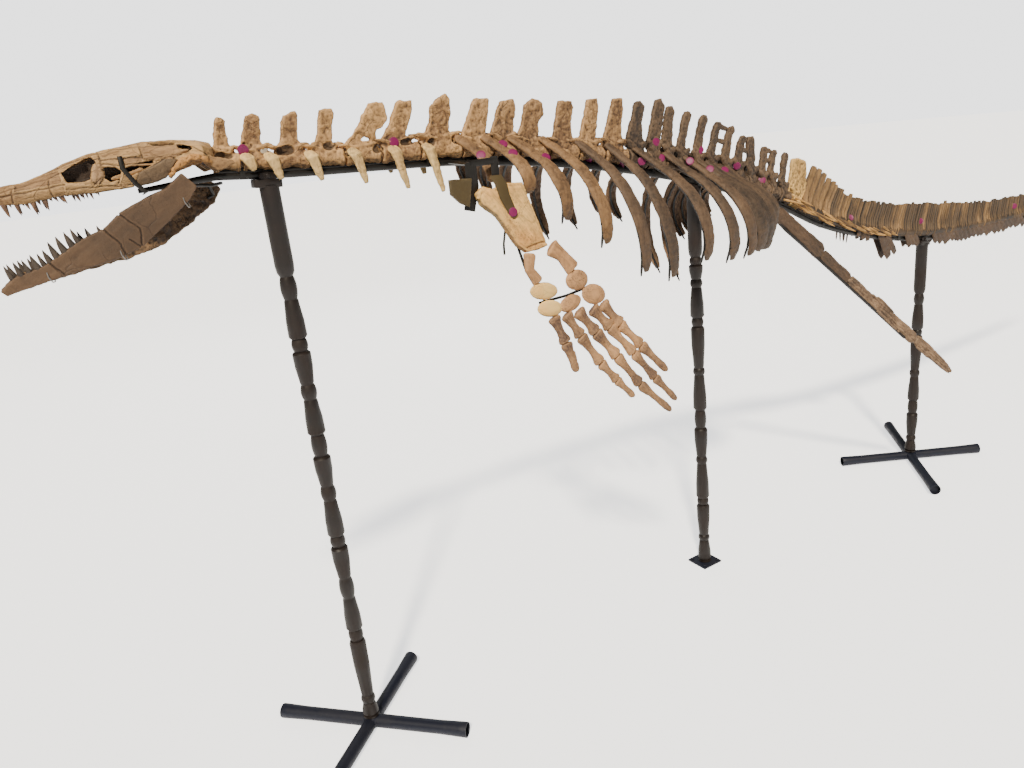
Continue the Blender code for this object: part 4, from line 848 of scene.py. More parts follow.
def make_finishes(looks):
    bone, iron = bone_group(), iron_group()
    pale, brown, jaw = tuple(looks.pale_bone), tuple(looks.brown_bone), tuple(looks.jaw_bone)
    dark = (0.040, 0.023, 0.013)
    bone_material("skull_bone", bone, pale, (0.25, 0.135, 0.060), dark, 0.80, 0.35, 0.5, (0, 12, 0),
                  (9, 150, 170))
    bone_material("cheek_plank", bone, (0.44, 0.265, 0.125), (0.24, 0.137, 0.066), dark, 0.85, 0.3, 0.4,
                  (0, 5, 0),
                  (9, 150, 190))
    bone_material("grey_plank", bone, (0.20, 0.132, 0.072), (0.105, 0.068, 0.040), dark, 0.7, 0.3, 0.3,
                  (0, -20, 0))
    bone_material("spongy_bone", bone, (0.50, 0.31, 0.16), (0.26, 0.150, 0.078), dark, 0.2, 1.0, 0.4,
                  depth=0.003)
    bone_material("rusty_bone", bone, (0.58, 0.29, 0.090), (0.22, 0.095, 0.033), dark, 0.5, 0.8, 0.5)
    bone_material("neck_bone", bone, (0.70, 0.42, 0.180), (0.30, 0.165, 0.075), dark, 0.6, 0.8, 0.6, UPRIGHT)
    bone_material("neck_rib_bone", bone, (0.95, 0.68, 0.30), (0.64, 0.41, 0.165), (0.12, 0.07, 0.035), 0.7,
                  0.4, 0.5,
                  UPRIGHT)
    bone_material("front_back_bone", bone, (0.60, 0.36, 0.165), (0.20, 0.112, 0.054), dark, 0.7, 0.6, 0.6,
                  UPRIGHT)
    bone_material("back_bone", bone, brown, (0.056, 0.037, 0.025), (0.014, 0.009, 0.007), 0.7, 0.4, 0.5,
                  UPRIGHT)
    bone_material("rib_bone", bone, (0.150, 0.092, 0.052), (0.054, 0.034, 0.021), (0.026, 0.016, 0.011),
                  0.8, 0.4, 0.4,
                  UPRIGHT, (8, 130, 130))
    bone_material("front_rib_bone", bone, (0.34, 0.195, 0.088), (0.110, 0.062, 0.030), dark, 0.8, 0.4, 0.4,
                  UPRIGHT,
                  (8, 130, 130))
    bone_material("sheet_bone", bone, (0.110, 0.070, 0.041), (0.038, 0.025, 0.016), (0.020, 0.013, 0.009),
                  0.85, 0.4,
                  0.4, UPRIGHT, (8, 130, 130))
    # The far ribs' finish is painted light: a paler rib colour for ribs that lie in shade.
    bone_material("far_rib_bone_painted_light", bone, (0.34, 0.205, 0.116), (0.160, 0.094, 0.055), (0.015, 0.010, 0.007),
                  0.8, 0.4,
                  0.4, UPRIGHT, (8, 130, 130))
    bone_material("tail_bone", bone, (0.34, 0.205, 0.088), (0.046, 0.031, 0.020), (0.018, 0.011, 0.008),
                  0.9, 0.4, 0.5,
                  (0, -78, 0), (10, 210, 210))
    bone_material("golden_bone", bone, (0.95, 0.62, 0.23), (0.52, 0.31, 0.115), (0.07, 0.04, 0.018), 0.95,
                  0.3, 0.4,
                  (0, -75, 0), (10, 190, 190))
    bone_material("sliver_bone", bone, (0.72, 0.42, 0.150), (0.13, 0.076, 0.034), (0.045, 0.026, 0.013),
                  0.9, 0.2, 0.3,
                  (0, 18, 0), (10, 200, 200), 24.0)
    bone_material("paddle_bone", bone, (1.0, 0.64, 0.23), (0.80, 0.41, 0.130), (0.17, 0.085, 0.04), 0.5,
                  0.9, 0.4,
                  (0, 60, 0), (14, 110, 110), 7.0)
    bone_material("forearm_bone", bone, (0.72, 0.40, 0.185), (0.40, 0.215, 0.105), (0.10, 0.055, 0.03),
                  0.45, 0.9, 0.4,
                  (0, 60, 0))
    bone_material("wrist_bone", bone, (1.0, 0.70, 0.27), (0.95, 0.55, 0.18), (0.26, 0.14, 0.06), 0.2, 0.8,
                  0.2,
                  blotch=16.0)
    bone_material("finger_bone", bone, (0.60, 0.34, 0.165), (0.120, 0.072, 0.050), (0.09, 0.052, 0.033),
                  0.6, 0.8, 0.4,
                  (0, 57, 0), (12, 140, 140), 11.0)
    bone_material("limb_bone", bone, (0.115, 0.070, 0.041), (0.048, 0.030, 0.019), (0.024, 0.015, 0.010),
                  0.85, 0.5, 0.4,
                  (0, 46, 0), (8, 130, 130))
    bone_material("splinter_bone", bone, (0.38, 0.250, 0.155), (0.090, 0.058, 0.037), (0.026, 0.016, 0.011),
                  0.95, 0.4,
                  0.5, (0, 46, 0), (7, 190, 190), 15.0)
    bone_material("jaw_bone", bone, jaw, (0.078, 0.045, 0.024), (0.040, 0.022, 0.013), 0.4, 0.35, 0.5,
                  (0, -27, 0),
                  (10, 90, 90), 6.0, 0.0022)
    bone_material("sandy_bone", bone, (0.26, 0.155, 0.078), (0.042, 0.026, 0.017), (0.012, 0.008, 0.006),
                  0.5, 1.0, 0.8,
                  (0, -30, 0), blotch=26.0, depth=0.005)
    bone_material("upper_tooth", bone, (0.26, 0.145, 0.085), (0.110, 0.064, 0.044), (0.03, 0.02, 0.016),
                  0.6, 0.2, 0.2,
                  UPRIGHT, blotch=40.0)
    bone_material("lower_tooth", bone, (0.080, 0.060, 0.045), (0.038, 0.029, 0.023), (0.014, 0.011, 0.009),
                  0.6, 0.2,
                  0.2, (0, -60, 0), blotch=40.0)
    # The darkest bone: painted shade in the skull's openings and under it, and the colour of the small spikes under
    # the tail root.
    bone_material("dark_bone_and_painted_shade", bone, (0.062, 0.036, 0.021), (0.036, 0.021, 0.013), (0.012, 0.008, 0.005),
                  0.5, 0.6, 0.4)
    iron_material("post_iron", iron, tuple(looks.iron), (0.075, 0.050, 0.040), (0.030, 0.019, 0.015), 0.05)
    iron_material("base_iron", iron, tuple(looks.base_iron), (0.060, 0.062, 0.080), (0.030, 0.030, 0.036),
                  0.15)
    iron_material("rod_iron", iron, (0.007, 0.006, 0.005), (0.03, 0.024, 0.02), (0.014, 0.011, 0.009), 0.1)
    iron_material("olive_strap", iron, (0.078, 0.055, 0.024), (0.14, 0.105, 0.055), (0.105, 0.077, 0.036),
                  0.1)
    iron_material("wire_steel", iron, (0.22, 0.21, 0.20), (0.45, 0.43, 0.40), (0.30, 0.28, 0.26), 0.7)
    paint_material("magenta_dab", tuple(looks.dab))
    paint_material("white_dab", (0.70, 0.64, 0.54))


# Skull and jaws

def skull_ring(row):
    x, top, low, half, roof = row
    tall = top - low
    right = [(roof * 0.55, top - 0.01 * tall), (roof, top - 0.08 * tall), (half * 0.86, low + 0.76 * tall),
             (half * 0.95, low + 0.56 * tall), (half, low + 0.36 * tall), (half, low + 0.16 * tall),
             (half * 0.93, low), (half * 0.66, low), (half * 0.50, low + 0.20 * tall)]
    ring = [(0, top)] + right + [(0, low + 0.32 * tall)] + [(-y, z) for y, z in reversed(right)]
    up = axis_frame(NECK_START + GAP / 2)[2]
    lean = up.x / up.z if row == SKULL[0] else 0
    return [Vector((x + lean * (z - AXIS[0][1]), y, z)) for y, z in ring]


def side_cutter(outline, side, inner, outer=0.10):
    points = [Vector((x, side * (inner + outer) / 2, z)) for x, z in outline]
    return plate(points, Y, outer - inner)


def half_width(x):
    """Half width of the skull at x."""
    return along([(row[0], row[3]) for row in reversed(SKULL)], x)


def raise_plates(shell):
    """Lifts or sinks the bones of the cheek and roof, and gives each its own finish; the faces in the skull's
    openings and under it get painted shade.
    """
    mesh = shell.data
    normals = [vert.normal.copy() for vert in mesh.vertices]
    for vert, normal in zip(mesh.vertices, normals):
        if abs(vert.co.y) < 0.012:
            continue
        for outline, height, _ in SKULL_PLATES:
            if inside((vert.co.x, vert.co.z), outline):
                vert.co += normal * height
                break
    for face in mesh.polygons:
        x, y, z = face.center
        if abs(y) < 0.012:
            continue
        # Faces deep in the openings and under the skull: painted shade.
        if abs(y) < half_width(x) * 0.74 and spread_of(2, x) + 0.004 < z < spread_of(1, x) - 0.011:
            face.material_index = 5
            continue
        for outline, _, number in SKULL_PLATES:
            if inside((x, z), outline):
                face.material_index = number
                break


def spread_of(table_index, x):
    return along([(row[0], row[table_index]) for row in reversed(SKULL)], x)


def make_skull():
    shell = shaped_blank([skull_ring(row) for row in SKULL])
    cutters = []
    for _, side in SIDES:
        cutters.append(side_cutter(ORBIT, side, 0.016))
        cutters += [side_cutter(gap, side, 0.030) for gap in CHEEK_GAPS]
        cutters.append(side_cutter(TEMPLE_GAP, side, 0.012))
        cutters.append(side_cutter(QUADRATE_GAP, side, 0.022))
        hole = [Vector((-1.440 + 0.040 * math.cos(t), side * (0.031 + 0.012 * math.sin(t)), 1.55))
                for t in [2 * math.pi * i / 12 for i in range(12)]]
        cutters.append(plate(hole, Z, 0.13))
        start, end, out, half = NOSTRIL
        slit = [Vector(((start + end) / 2 + (end - start) / 2 * math.cos(t),
                        side * (out + half * math.sin(t)), 1.49))
                for t in [2 * math.pi * i / 10 for i in range(10)]]
        cutters.append(plate(slit, Z, 0.036))
    cut(shell, cutters)
    fuse(shell, 0.0018, 1, ((relief("CLOUDS", 0.050), 0.0030), (relief("CLOUDS", 0.012), 0.0016)))
    raise_plates(shell)
    for _, side in SIDES:
        carve(shell, side, SEAMS, 0.0019, 0.0019)
    # The last finish is painted shade for the openings and the underside.
    finishes = ("skull_bone", "cheek_plank", "grey_plank", "spongy_bone", "rusty_bone", "dark_bone_and_painted_shade")
    hand_over(shell, "skull_shell", finishes, ("skull",))
    for name, side in SIDES:
        make_cheek_bits(name, side)


def make_cheek_bits(name, side):
    """Loose bones of the cheek: the arch under the orbit, the quadrate and two broken planks."""
    quadrate = bar([Vector((-1.458, side * 0.066, 1.457)), Vector((-1.446, side * 0.070, 1.470)),
                    Vector((-1.424, side * 0.072, 1.484)), Vector((-1.402, side * 0.073, 1.489)),
                    Vector((-1.384, side * 0.072, 1.482)), Vector((-1.374, side * 0.068, 1.474))],
                   [(0.003, 0.004), (0.006, 0.005), (0.0085, 0.006), (0.0055, 0.006), (0.007, 0.006),
                    (0.004, 0.004)],
                   Z, 10)
    fuse(quadrate, FINE, 1, ((relief("CLOUDS", 0.014), 0.0085), (relief("CLOUDS", 0.006), 0.003)))
    hand_over(quadrate, f"{name}_quadrate", "rusty_bone")
    bits = []
    for start, end, wide, thick in (
        ((-1.560, 0.046, 1.466), (-1.500, 0.055, 1.478), 0.0050, 0.0030),
        ((-1.553, 0.050, 1.489), (-1.470, 0.060, 1.484), 0.0030, 0.0025),
        ((-1.640, 0.040, 1.464), (-1.532, 0.055, 1.452), 0.0050, 0.0035),
        ((-1.480, 0.062, 1.491), (-1.412, 0.068, 1.505), 0.0040, 0.0030),
        ((-1.600, 0.046, 1.458), (-1.572, 0.050, 1.492), 0.0060, 0.0032),
    ):
        first = Vector((start[0], side * start[1], start[2]))
        last = Vector((end[0], side * end[1], end[2]))
        points = [first.lerp(last, share) for share in (0, 0.15, 0.4, 0.7, 0.9, 1)]
        halves = [(wide * share, thick * share) for share in (0.6, 1, 0.85, 0.9, 1, 0.6)]
        bits.append(bar(points, halves, Z, 8))
    bits.append(plate([Vector((x, side * 0.050, z)) for x, z in BACK_PLATE], Y, 0.007))
    bits = fuse(join(bits), FINE, 2, ((relief("CLOUDS", 0.010), 0.003),))
    hand_over(bits, f"{name}_cheek_bones", "cheek_plank")


def tooth_blank():
    """A curved, pointed tooth of unit height with its root at the origin."""
    rings = ((1.0, 0.0), (1.02, 0.14), (0.88, 0.34), (0.68, 0.54), (0.46, 0.74), (0.22, 0.90), (0.05, 1.0))
    blank = straight_blank([(share, share * 0.86) for share, _ in rings], 10)
    frames = [(Vector((0.10 * height**2, 0, height)), X * 0.17, Y * 0.17) for _, height in rings]
    return lay_along(blank, frames)


def make_teeth():
    rng = random.Random(11)
    blank = tooth_blank()
    for name, side in SIDES:
        upper, lower = [], []
        for x, length in zip(UPPER_TEETH_X, UPPER_TOOTH_LENGTHS):
            root = Vector((x + 0.003, side * spread_of(3, x) * 0.80, spread_of(2, x) + 0.004))
            tip = root + Vector((0.002 + rng.uniform(-0.003, 0.003), side * 0.001, -length - 0.004))
            upper.append(place_tooth(blank, root, tip, rng.uniform(0.9, 1.15)))
            if length > 0.014:
                near = root + Vector((0.009, 0, 0.0005))
                upper.append(place_tooth(blank, near, near + Vector((0.001, 0, -length * 0.45)), 1.0))
        for x, length in zip(LOWER_TEETH_X, LOWER_TOOTH_LENGTHS):
            z = along(JAW_UPPER, x + 0.006) - 0.004
            root = (jaw_point(x + 0.006, z, side, False) + jaw_point(x + 0.006, z, side, True)) / 2
            root.y += side * 0.003
            lean = Vector((-0.42, 0, 0.91)) * (length + 0.005)
            lower.append(place_tooth(blank, root, root + lean, rng.uniform(0.95, 1.2)))
        for label, teeth, finish, slot in (("upper", upper, "upper_tooth", "pale_bone"),
                                           ("lower", lower, "lower_tooth", "jaw_bone")):
            row = join(teeth)
            smooth = row.modifiers.new("Subdivision", "SUBSURF")
            smooth.levels = smooth.render_levels = 1
            apply_modifiers(row)
            hand_over(row, f"{name}_{label}_teeth", finish, hollows=False)
    discard(blank)


def place_tooth(blank, root, tip, stout):
    ahead = tip - root
    length = ahead.length
    wide = max(length, 0.016) * stout * 1.15
    across = (X - ahead.normalized() * ahead.normalized().x).normalized()
    depth = ahead.normalized().cross(across)
    return copy_of(blank, place_matrix(root, across * wide, depth * wide, ahead))


def jaw_point(x, z, side, inner, inset=0.0):
    """A place on the outer or inner face of a lower jaw, which spreads out towards the back."""
    spread = along(JAW_SPREAD, x) - (JAW_THICKNESS - inset if inner else inset)
    if side > 0:
        share = x - JAW_TIP_X
        z -= RIGHT_JAW_SINK * max(share, 0)
        x = JAW_TIP_X + RIGHT_JAW_STRETCH * share
    return Vector((x, side * spread, z))


def make_jaws():
    outline = JAW_UPPER + JAW_LOWER
    for (name, side), node in zip(SIDES, ("lower_jaw_left", "lower_jaw_right")):
        flat = shaped_blank([[jaw_point(x, z, side, inner) for x, z in outline] for inner in (False, True)])
        if side < 0:
            fuse(flat, 0.0016, 3, ((relief("CLOUDS", 0.060), 0.0040), (relief("CLOUDS", 0.016), 0.0012)))
            carve(flat, side, JAW_BREAKS, 0.0019, 0.0034)
        else:
            fuse(flat, 0.0022, 3, ((relief("CLOUDS", 0.022), 0.0080), (relief("VORONOI", 0.010), 0.0030)))
        finish = "jaw_bone" if side < 0 else "sandy_bone"
        hand_over(flat, f"{name}_lower_jaw", finish, (node,))


# Backbone

def centrum_blank():
    """One spool-shaped centrum of unit length along Z and unit radius, hollow in front."""
    rows = ((0.86, 0.04), (0.99, 0.0), (1.05, 0.05), (1.0, 0.14), (0.84, 0.34), (0.79, 0.5), (0.83, 0.68),
            (0.98, 0.87), (1.05, 0.95), (0.97, 1.0), (0.72, 1.03))
    blank = straight_blank([(radius, radius) for radius, _ in rows], 16)
    return lay_along(blank, [(Z * (height - 0.5), X, Y) for _, height in rows])


def arch_blank():
    """The arch over one centrum with its prongs: unit length along X, unit half width, foot at 0, top at 1."""
    rows = ((0.46, 0.98, 0.0), (0.45, 0.88, 0.3), (0.43, 0.66, 0.55), (0.39, 0.52, 0.8), (0.30, 0.42, 1.05))
    body = lay_along(straight_blank([(x, y) for x, y, _ in rows], 10), [(Z * z, X, Y) for _, _, z in rows])
    prongs = [body]
    for side in (-1, 1):
        for start, end in (((-0.22, 0.62, 0.50), (-0.56, 0.86, 0.86)),
                           ((0.22, 0.50, 0.66), (0.52, 0.62, 0.92))):
            first, last = Vector(start), Vector(end)
            first.y *= side
            last.y *= side
            points = [first.lerp(last, share) for share in (0, 0.4, 0.8, 1)]
            prongs.append(bar(points, [(0.17, 0.30), (0.14, 0.26), (0.13, 0.26), (0.08, 0.16)], Z, 8))
    return join(prongs)


def spine_outline(index):
    if index < len(SPINE_OUTLINES):
        return SPINE_OUTLINES[index]
    if index == len(SPINES) - 1:
        return LAST_SPINE
    x, rise, back, height, width = SPINES[index]
    _, _, up = axis_frame(x)
    base = Vector((x, 0, axis_z(x) + rise))
    top = base + Vector((back, 0, height))
    root = base - up * 0.014
    shares = ((root, -0.50, 0), (base.lerp(top, 0.3), -0.40, 0), (base.lerp(top, 0.65), -0.42, 0),
              (top, -0.44, -0.010), (top, -0.20, 0.0), (top, 0.22, -0.001), (top, 0.44, -0.012),
              (base.lerp(top, 0.6), 0.42, 0), (base.lerp(top, 0.3), 0.40, 0), (root, 0.50, 0))
    return [(point.x + width * across, point.z + lift) for point, across, lift in shares]


def make_backbone():
    """Every vertebra of the neck and the trunk, each its own piece."""
    centrum, arch = centrum_blank(), arch_blank()
    rims = {"neck": joints_between(NECK_START, NECK_END), "back": joints_between(NECK_END, TRUNK_END)}
    first = {"neck": "neck_vertebrae", "back": "back_vertebrae"}
    bumps = ((relief("CLOUDS", 0.022), 0.0075), (relief("CLOUDS", 0.008), 0.0028))
    for index, row in enumerate(SPINES):
        x, rise = row[0], row[1]
        part = "neck" if x < NECK_END else "back"
        before = max(rim for rim in rims[part][:-1] if rim <= x)
        after = min(rim for rim in rims[part] if rim > x)
        middle, ahead, up = axis_frame((before + after) / 2)
        radius, length = along(CORE_RADIUS, x), after - before
        pieces = [copy_of(centrum, place_matrix(middle, Y * radius, up * radius, ahead * (length - 0.0035)))]
        if part == "back":
            pieces.append(bar([middle - up * 0.002 + Y * s for s in (-0.030, -0.016, 0.016, 0.030)],
                              [(0.008, 0.006), (0.012, 0.010), (0.012, 0.010), (0.008, 0.006)], ahead, 8))
        foot = middle + up * (radius * 0.35)
        top = Vector((x, 0, axis_z(x) + rise))
        pieces.append(copy_of(arch, place_matrix(foot, ahead * (length * 0.98), Y * 0.0165, top - foot)))
        outline = [Vector((px, 0, pz)) for px, pz in spine_outline(index)]
        blade = plate(outline, Y, SPINE_THICKNESS)
        if index == 4:
            cut(blade, [plate([Vector((px, 0, pz)) for px, pz in SPINE_HOLE], Y, 0.06)])
        pieces.append(blade)
        if index in BRIDGED_SPINES:
            after_x, after_rise, after_back, after_height, _ = SPINES[index + 1]
            for share in (0.86, 0.42):
                here = top + Vector((row[2], 0, row[3])) * share
                there = Vector((after_x + after_back * share, 0,
                                axis_z(after_x) + after_rise + after_height * share))
                pieces.append(bar([here, here.lerp(there, 0.5), there.lerp(here, 0.12)],
                                  [(0.008, 0.005)] * 3, Z, 8))
        vertebra = fuse(join(pieces), 0.0024, 3, bumps)
        if part == "neck":
            for _, side in SIDES:
                carve(vertebra, side, spots=NECK_HOLLOWS)
        finish = "neck_bone" if part == "neck" else "front_back_bone" if index < 13 else "back_bone"
        if index == len(SPINES) - 1:
            finish = "golden_bone"
        replaced = (first.pop(part),) if part in first else ()
        hand_over(vertebra, f"vertebra_{index + 1:02d}", finish, replaced, tint=SPINE_TINTS[index])
    discard(centrum, arch)
    make_neck_ribs()


def make_neck_ribs():
    bumps = ((relief("CLOUDS", 0.012), 0.0035),)
    for index, (x, length) in enumerate(NECK_RIBS):
        point = axis_frame(x)[0]
        radius = along(CORE_RADIUS, x)
        for name, side in SIDES:
            drop = length if side < 0 else length * 0.55
            root = point + Vector((0.004, side * radius * 0.50, 0.014))
            bend = point + Vector((0.008, side * (radius + 0.008), 0.002))
            tip = point + Vector((0.012 + 0.12 * drop, side * (radius + 0.011 + 0.10 * drop), -drop - 0.002))
            points = [root, root.lerp(bend, 0.6), bend, bend.lerp(tip, 0.35), bend.lerp(tip, 0.7), tip]
            halves = [(0.012, 0.006), (0.0155, 0.007), (0.0145, 0.008), (0.011, 0.007), (0.0095, 0.006),
                      (0.005, 0.004)]
            rib = fuse(bar(points, halves, X), FINE, 2, bumps)
            hand_over(rib, f"{name}_neck_rib_{index + 1}", "neck_rib_bone")


def rib_shape(row, side):
    """Centre of an arc in the plane of the rib, and the arc's half width and half height."""
    x, left_drop, right_drop, reach = row
    drop = right_drop if side > 0 else left_drop
    reach *= RIGHT_REACH if side > 0 else 1
    half_width = (reach - RIB_ROOT_Y) / (1 - math.sin(RIB_START))
    half_height = drop / (math.cos(RIB_START) - math.cos(RIB_END))
    return reach - half_width, axis_z(x) - half_height * math.cos(RIB_START), half_width, half_height


def rib_point(row, side, angle, inward=0.0):
    """A point on a rib, or that far inside its curve. Ribs sweep back as they drop."""
    centre_y, centre_z, half_width, half_height = rib_shape(row, side)
    y = centre_y + half_width * math.sin(angle)
    z = centre_z + half_height * math.cos(angle)
    out = Vector((0, math.sin(angle) * half_height, math.cos(angle) * half_width)).normalized()
    x = row[0] + RIB_SWEEP * (axis_z(row[0]) - z)
    return Vector((x, side * (y - out.y * inward), z - out.z * inward))


def rib_bar(row, side, swell, rng):
    points, halves = [], []
    for i in range(RIB_RINGS):
        share = i / (RIB_RINGS - 1)
        points.append(rib_point(row, side, RIB_START + (RIB_END - RIB_START) * share))
        wide = 0.0182 * (0.66 + 0.56 * math.sin(math.pi * min(share * 0.75 + 0.10, 1)) - 0.12 * share)
        wide *= swell * rng.uniform(0.94, 1.06)
        taper = 1 if i < RIB_RINGS - 1 else 0.62 if swell == 1 else 0.9
        halves.append((wide * taper, 0.0070 * (1.15 - 0.30 * share) * taper))
    return bar(points, halves, X)


def rib_carrier(row, side):
    """The broad process that runs from an arch down and back to the head of a rib."""
    x = row[0]
    point, ahead, up = axis_frame(x - 0.040)
    start = point + up * 0.030 + Y * (side * 0.006)
    end = rib_point(row, side, RIB_START + 0.22)
    points = [start.lerp(end, share) for share in (0, 0.25, 0.55, 0.85, 1)]
    return bar(points, [(0.014, 0.007), (0.017, 0.008), (0.016, 0.008), (0.015, 0.008), (0.010, 0.005)],
               ahead, 8)


def make_ribs():
    rng = random.Random(5)
    bumps = ((relief("CLOUDS", 0.040), 0.0060), (relief("CLOUDS", 0.012), 0.0022))
    for name, side in SIDES:
        node = ("ribs_left",) if side < 0 else ("ribs_right",)
        sheet = []
        for index, row in enumerate(RIBS):
            swell = 1.0 if index < SHEET_FIRST_RIB else 1.22
            pieces = [rib_bar(row, side, swell, rng), rib_carrier(row, side)]
            if index >= SHEET_FIRST_RIB:
                sheet.append(fuse(join(pieces), PLAIN, 1, bumps))
                set_values(sheet[-1].data, "tint",
                           np.full(len(sheet[-1].data.vertices), SHEET_TINTS[index % 5]))
                continue
            rib = fuse(join(pieces), PLAIN, 2, bumps)
            # The far ribs and sheet get the paler finish, painted light for ribs in shade.
            if side > 0:
                finish = "far_rib_bone_painted_light"
            else:
                finish = "front_rib_bone" if index < 4 else "rib_bone"
            hand_over(rib, f"{name}_rib_{index + 1:02d}", finish, node, tint=rng.uniform(-0.3, 0.25))
            node = ()
        sheet = join(sheet)
        hand_over(sheet, f"{name}_rib_sheet", "sheet_bone" if side < 0 else "far_rib_bone_painted_light")


# Tail

def tail_plank_blank():
    """One thin plank of the tail: unit thickness along X, unit half width along Y, foot at 0, top at 1."""
    rows = ((0.40, 0.50, 0.0), (0.48, 0.90, 0.07), (0.50, 1.0, 0.22), (0.49, 0.70, 0.33), (0.48, 0.44, 0.46),
            (0.50, 0.36, 0.78), (0.49, 0.32, 0.97), (0.40, 0.22, 1.0))
    blank = straight_blank([(x, y) for x, y, _ in rows], 8)
    lay_along(blank, [(Z * z, X, Y) for _, _, z in rows])
    # Each plank's front and back edges get painted shade where it meets its neighbours, and its middle is painted
    # paler.
    edge = np.array([abs(vert.co.x) for vert in blank.data.vertices]) * 2
    set_values(blank.data, "hollow", ((edge - 0.45) * 1.6).clip(0))
    set_values(blank.data, "ridge", ((0.45 - edge) * 1.2).clip(0))
    return blank


def make_tail():
    rng = random.Random(7)
    blank = tail_plank_blank()
    for name, start, end, pitch in TAIL_SEGMENTS:
        places, x = [], start
        while x < end - 0.004:
            wide = pitch * (2.0 if x < 0.56 else 1.5 if x < 0.62 else rng.uniform(0.72, 1.30))
            places.append((x + wide / 2, wide * rng.uniform(1.02, 1.14)))
            x += wide
        planks = [tail_plank(blank, x, wide, rng) for x, wide in places]
        rims = []
        steps = round((end - start) / 0.02)
        for i in range(steps + 1):
            x = start + GAP / 2 + (end - start - GAP) * i / steps
            point, _, up = axis_frame(x)
            radius = along(CORE_RADIUS, x) * (1.0 if i % 2 else 0.88)
            rims.append((point, Y * radius, up * radius))
        core = lay_along(straight_blank([(1, 1)] * len(rims), 12), rims)
        # The core is marked as deep hollow all over, so it takes painted shade between and under the planks.
        set_values(core.data, "hollow", np.full(len(core.data.vertices), 0.9))
        tail = join([core] + planks)
        hand_over(tail, f"tail_{name}_planks", "tail_bone", (f"tail_{name}",), hollows=False,
                  flat=True)
    discard(blank)
    make_slivers(rng)
    make_chevrons(rng)


def tail_plank(blank, x, wide, rng):
    """One plank, a little turned and leaning back; some are golden, most brown."""
    point, ahead, up = axis_frame(x)
    radius = along(CORE_RADIUS, x)
    low = point - up * (radius * 0.86)
    height = (along(TAIL_TOP, x) + radius * 0.86) * rng.uniform(0.92, 1.02)
    lean = TAIL_LEAN * min(1, max(0, x - 0.44) / 0.16)
    top = low + up * height + ahead * (height * lean + rng.uniform(-0.004, 0.004))
    turn = rng.uniform(-0.16, 0.16)
    across = (Y + ahead * turn) * radius * rng.uniform(0.84, 1.10)
    plank = copy_of(blank, place_matrix(low, (ahead - Y * turn) * wide, across, top - low))
    golden = x < 0.60 or (x < 1.3 and rng.random() < 0.16)
    tint = rng.uniform(0.45, 1.0) if golden else rng.uniform(-1.0, 0.02)
    set_values(plank.data, "tint", np.full(len(plank.data.vertices), tint))
    return plank


def sliver_blank():
    """A thin splinter of unit length along Z, pointed at its far end."""
    rows = ((0.8, 0.8, 0.0), (1.0, 1.0, 0.15), (0.9, 0.8, 0.5), (0.7, 0.6, 0.8), (0.15, 0.15, 1.0))
    blank = straight_blank([(x, y) for x, y, _ in rows], 5)
    return lay_along(blank, [(Z * z, X, Y) for _, _, z in rows])


def make_slivers(rng):
    """Side processes of the loin and tail root, broken to splinters that lie back along it."""
    blank = sliver_blank()
    for name, side in SIDES:
        slivers = []
        for i in range(SLIVER_COUNT):
            x = SLIVER_START + (SLIVER_END - SLIVER_START) * (i + rng.uniform(-0.3, 0.3)) / SLIVER_COUNT
            point, ahead, up = axis_frame(x)
            radius = along(CORE_RADIUS, x)
            share = i / SLIVER_COUNT
            reach = (0.100 - 0.062 * share) * rng.uniform(0.75, 1.15)
            rise = rng.uniform(-0.9, 0.6) * radius
            root = point + up * rise + Y * (side * radius * rng.uniform(0.75, 1.0))
            out = side * (0.10 + 0.16 * (1 - share)) * reach * rng.uniform(0.3, 1.2)
            tip = root + ahead * reach + Y * out - up * (rise * 0.5 + (0.012 + 0.05 * reach) * rng.uniform(0.2, 1.2))
            long = tip - root
            across = (up - long.normalized() * up.dot(long.normalized())).normalized()
            depth = long.normalized().cross(across)
            wide, thick = rng.uniform(0.0028, 0.0050), rng.uniform(0.0018, 0.0028)
            sliver = copy_of(blank, place_matrix(root, across * wide, depth * thick, long))
            set_values(sliver.data, "tint", np.full(len(sliver.data.vertices), rng.uniform(-0.9, 0.8)))
            slivers.append(sliver)
        pile = join(slivers)
        hand_over(pile, f"{name}_tail_slivers", "sliver_bone", hollows=False, flat=True)
    discard(blank)


def chevron_blank():
    """One arm of a chevron: unit length along Z, unit half width along X, unit half thickness along Y."""
    rows = ((0.7, 1.0, 0.0), (0.85, 1.1, 0.2), (1.0, 0.9, 0.55), (1.1, 0.8, 0.85), (0.8, 0.5, 1.0))
    blank = straight_blank([(x, y) for x, y, _ in rows], 6)
    return lay_along(blank, [(Z * z, X, Y) for _, _, z in rows])


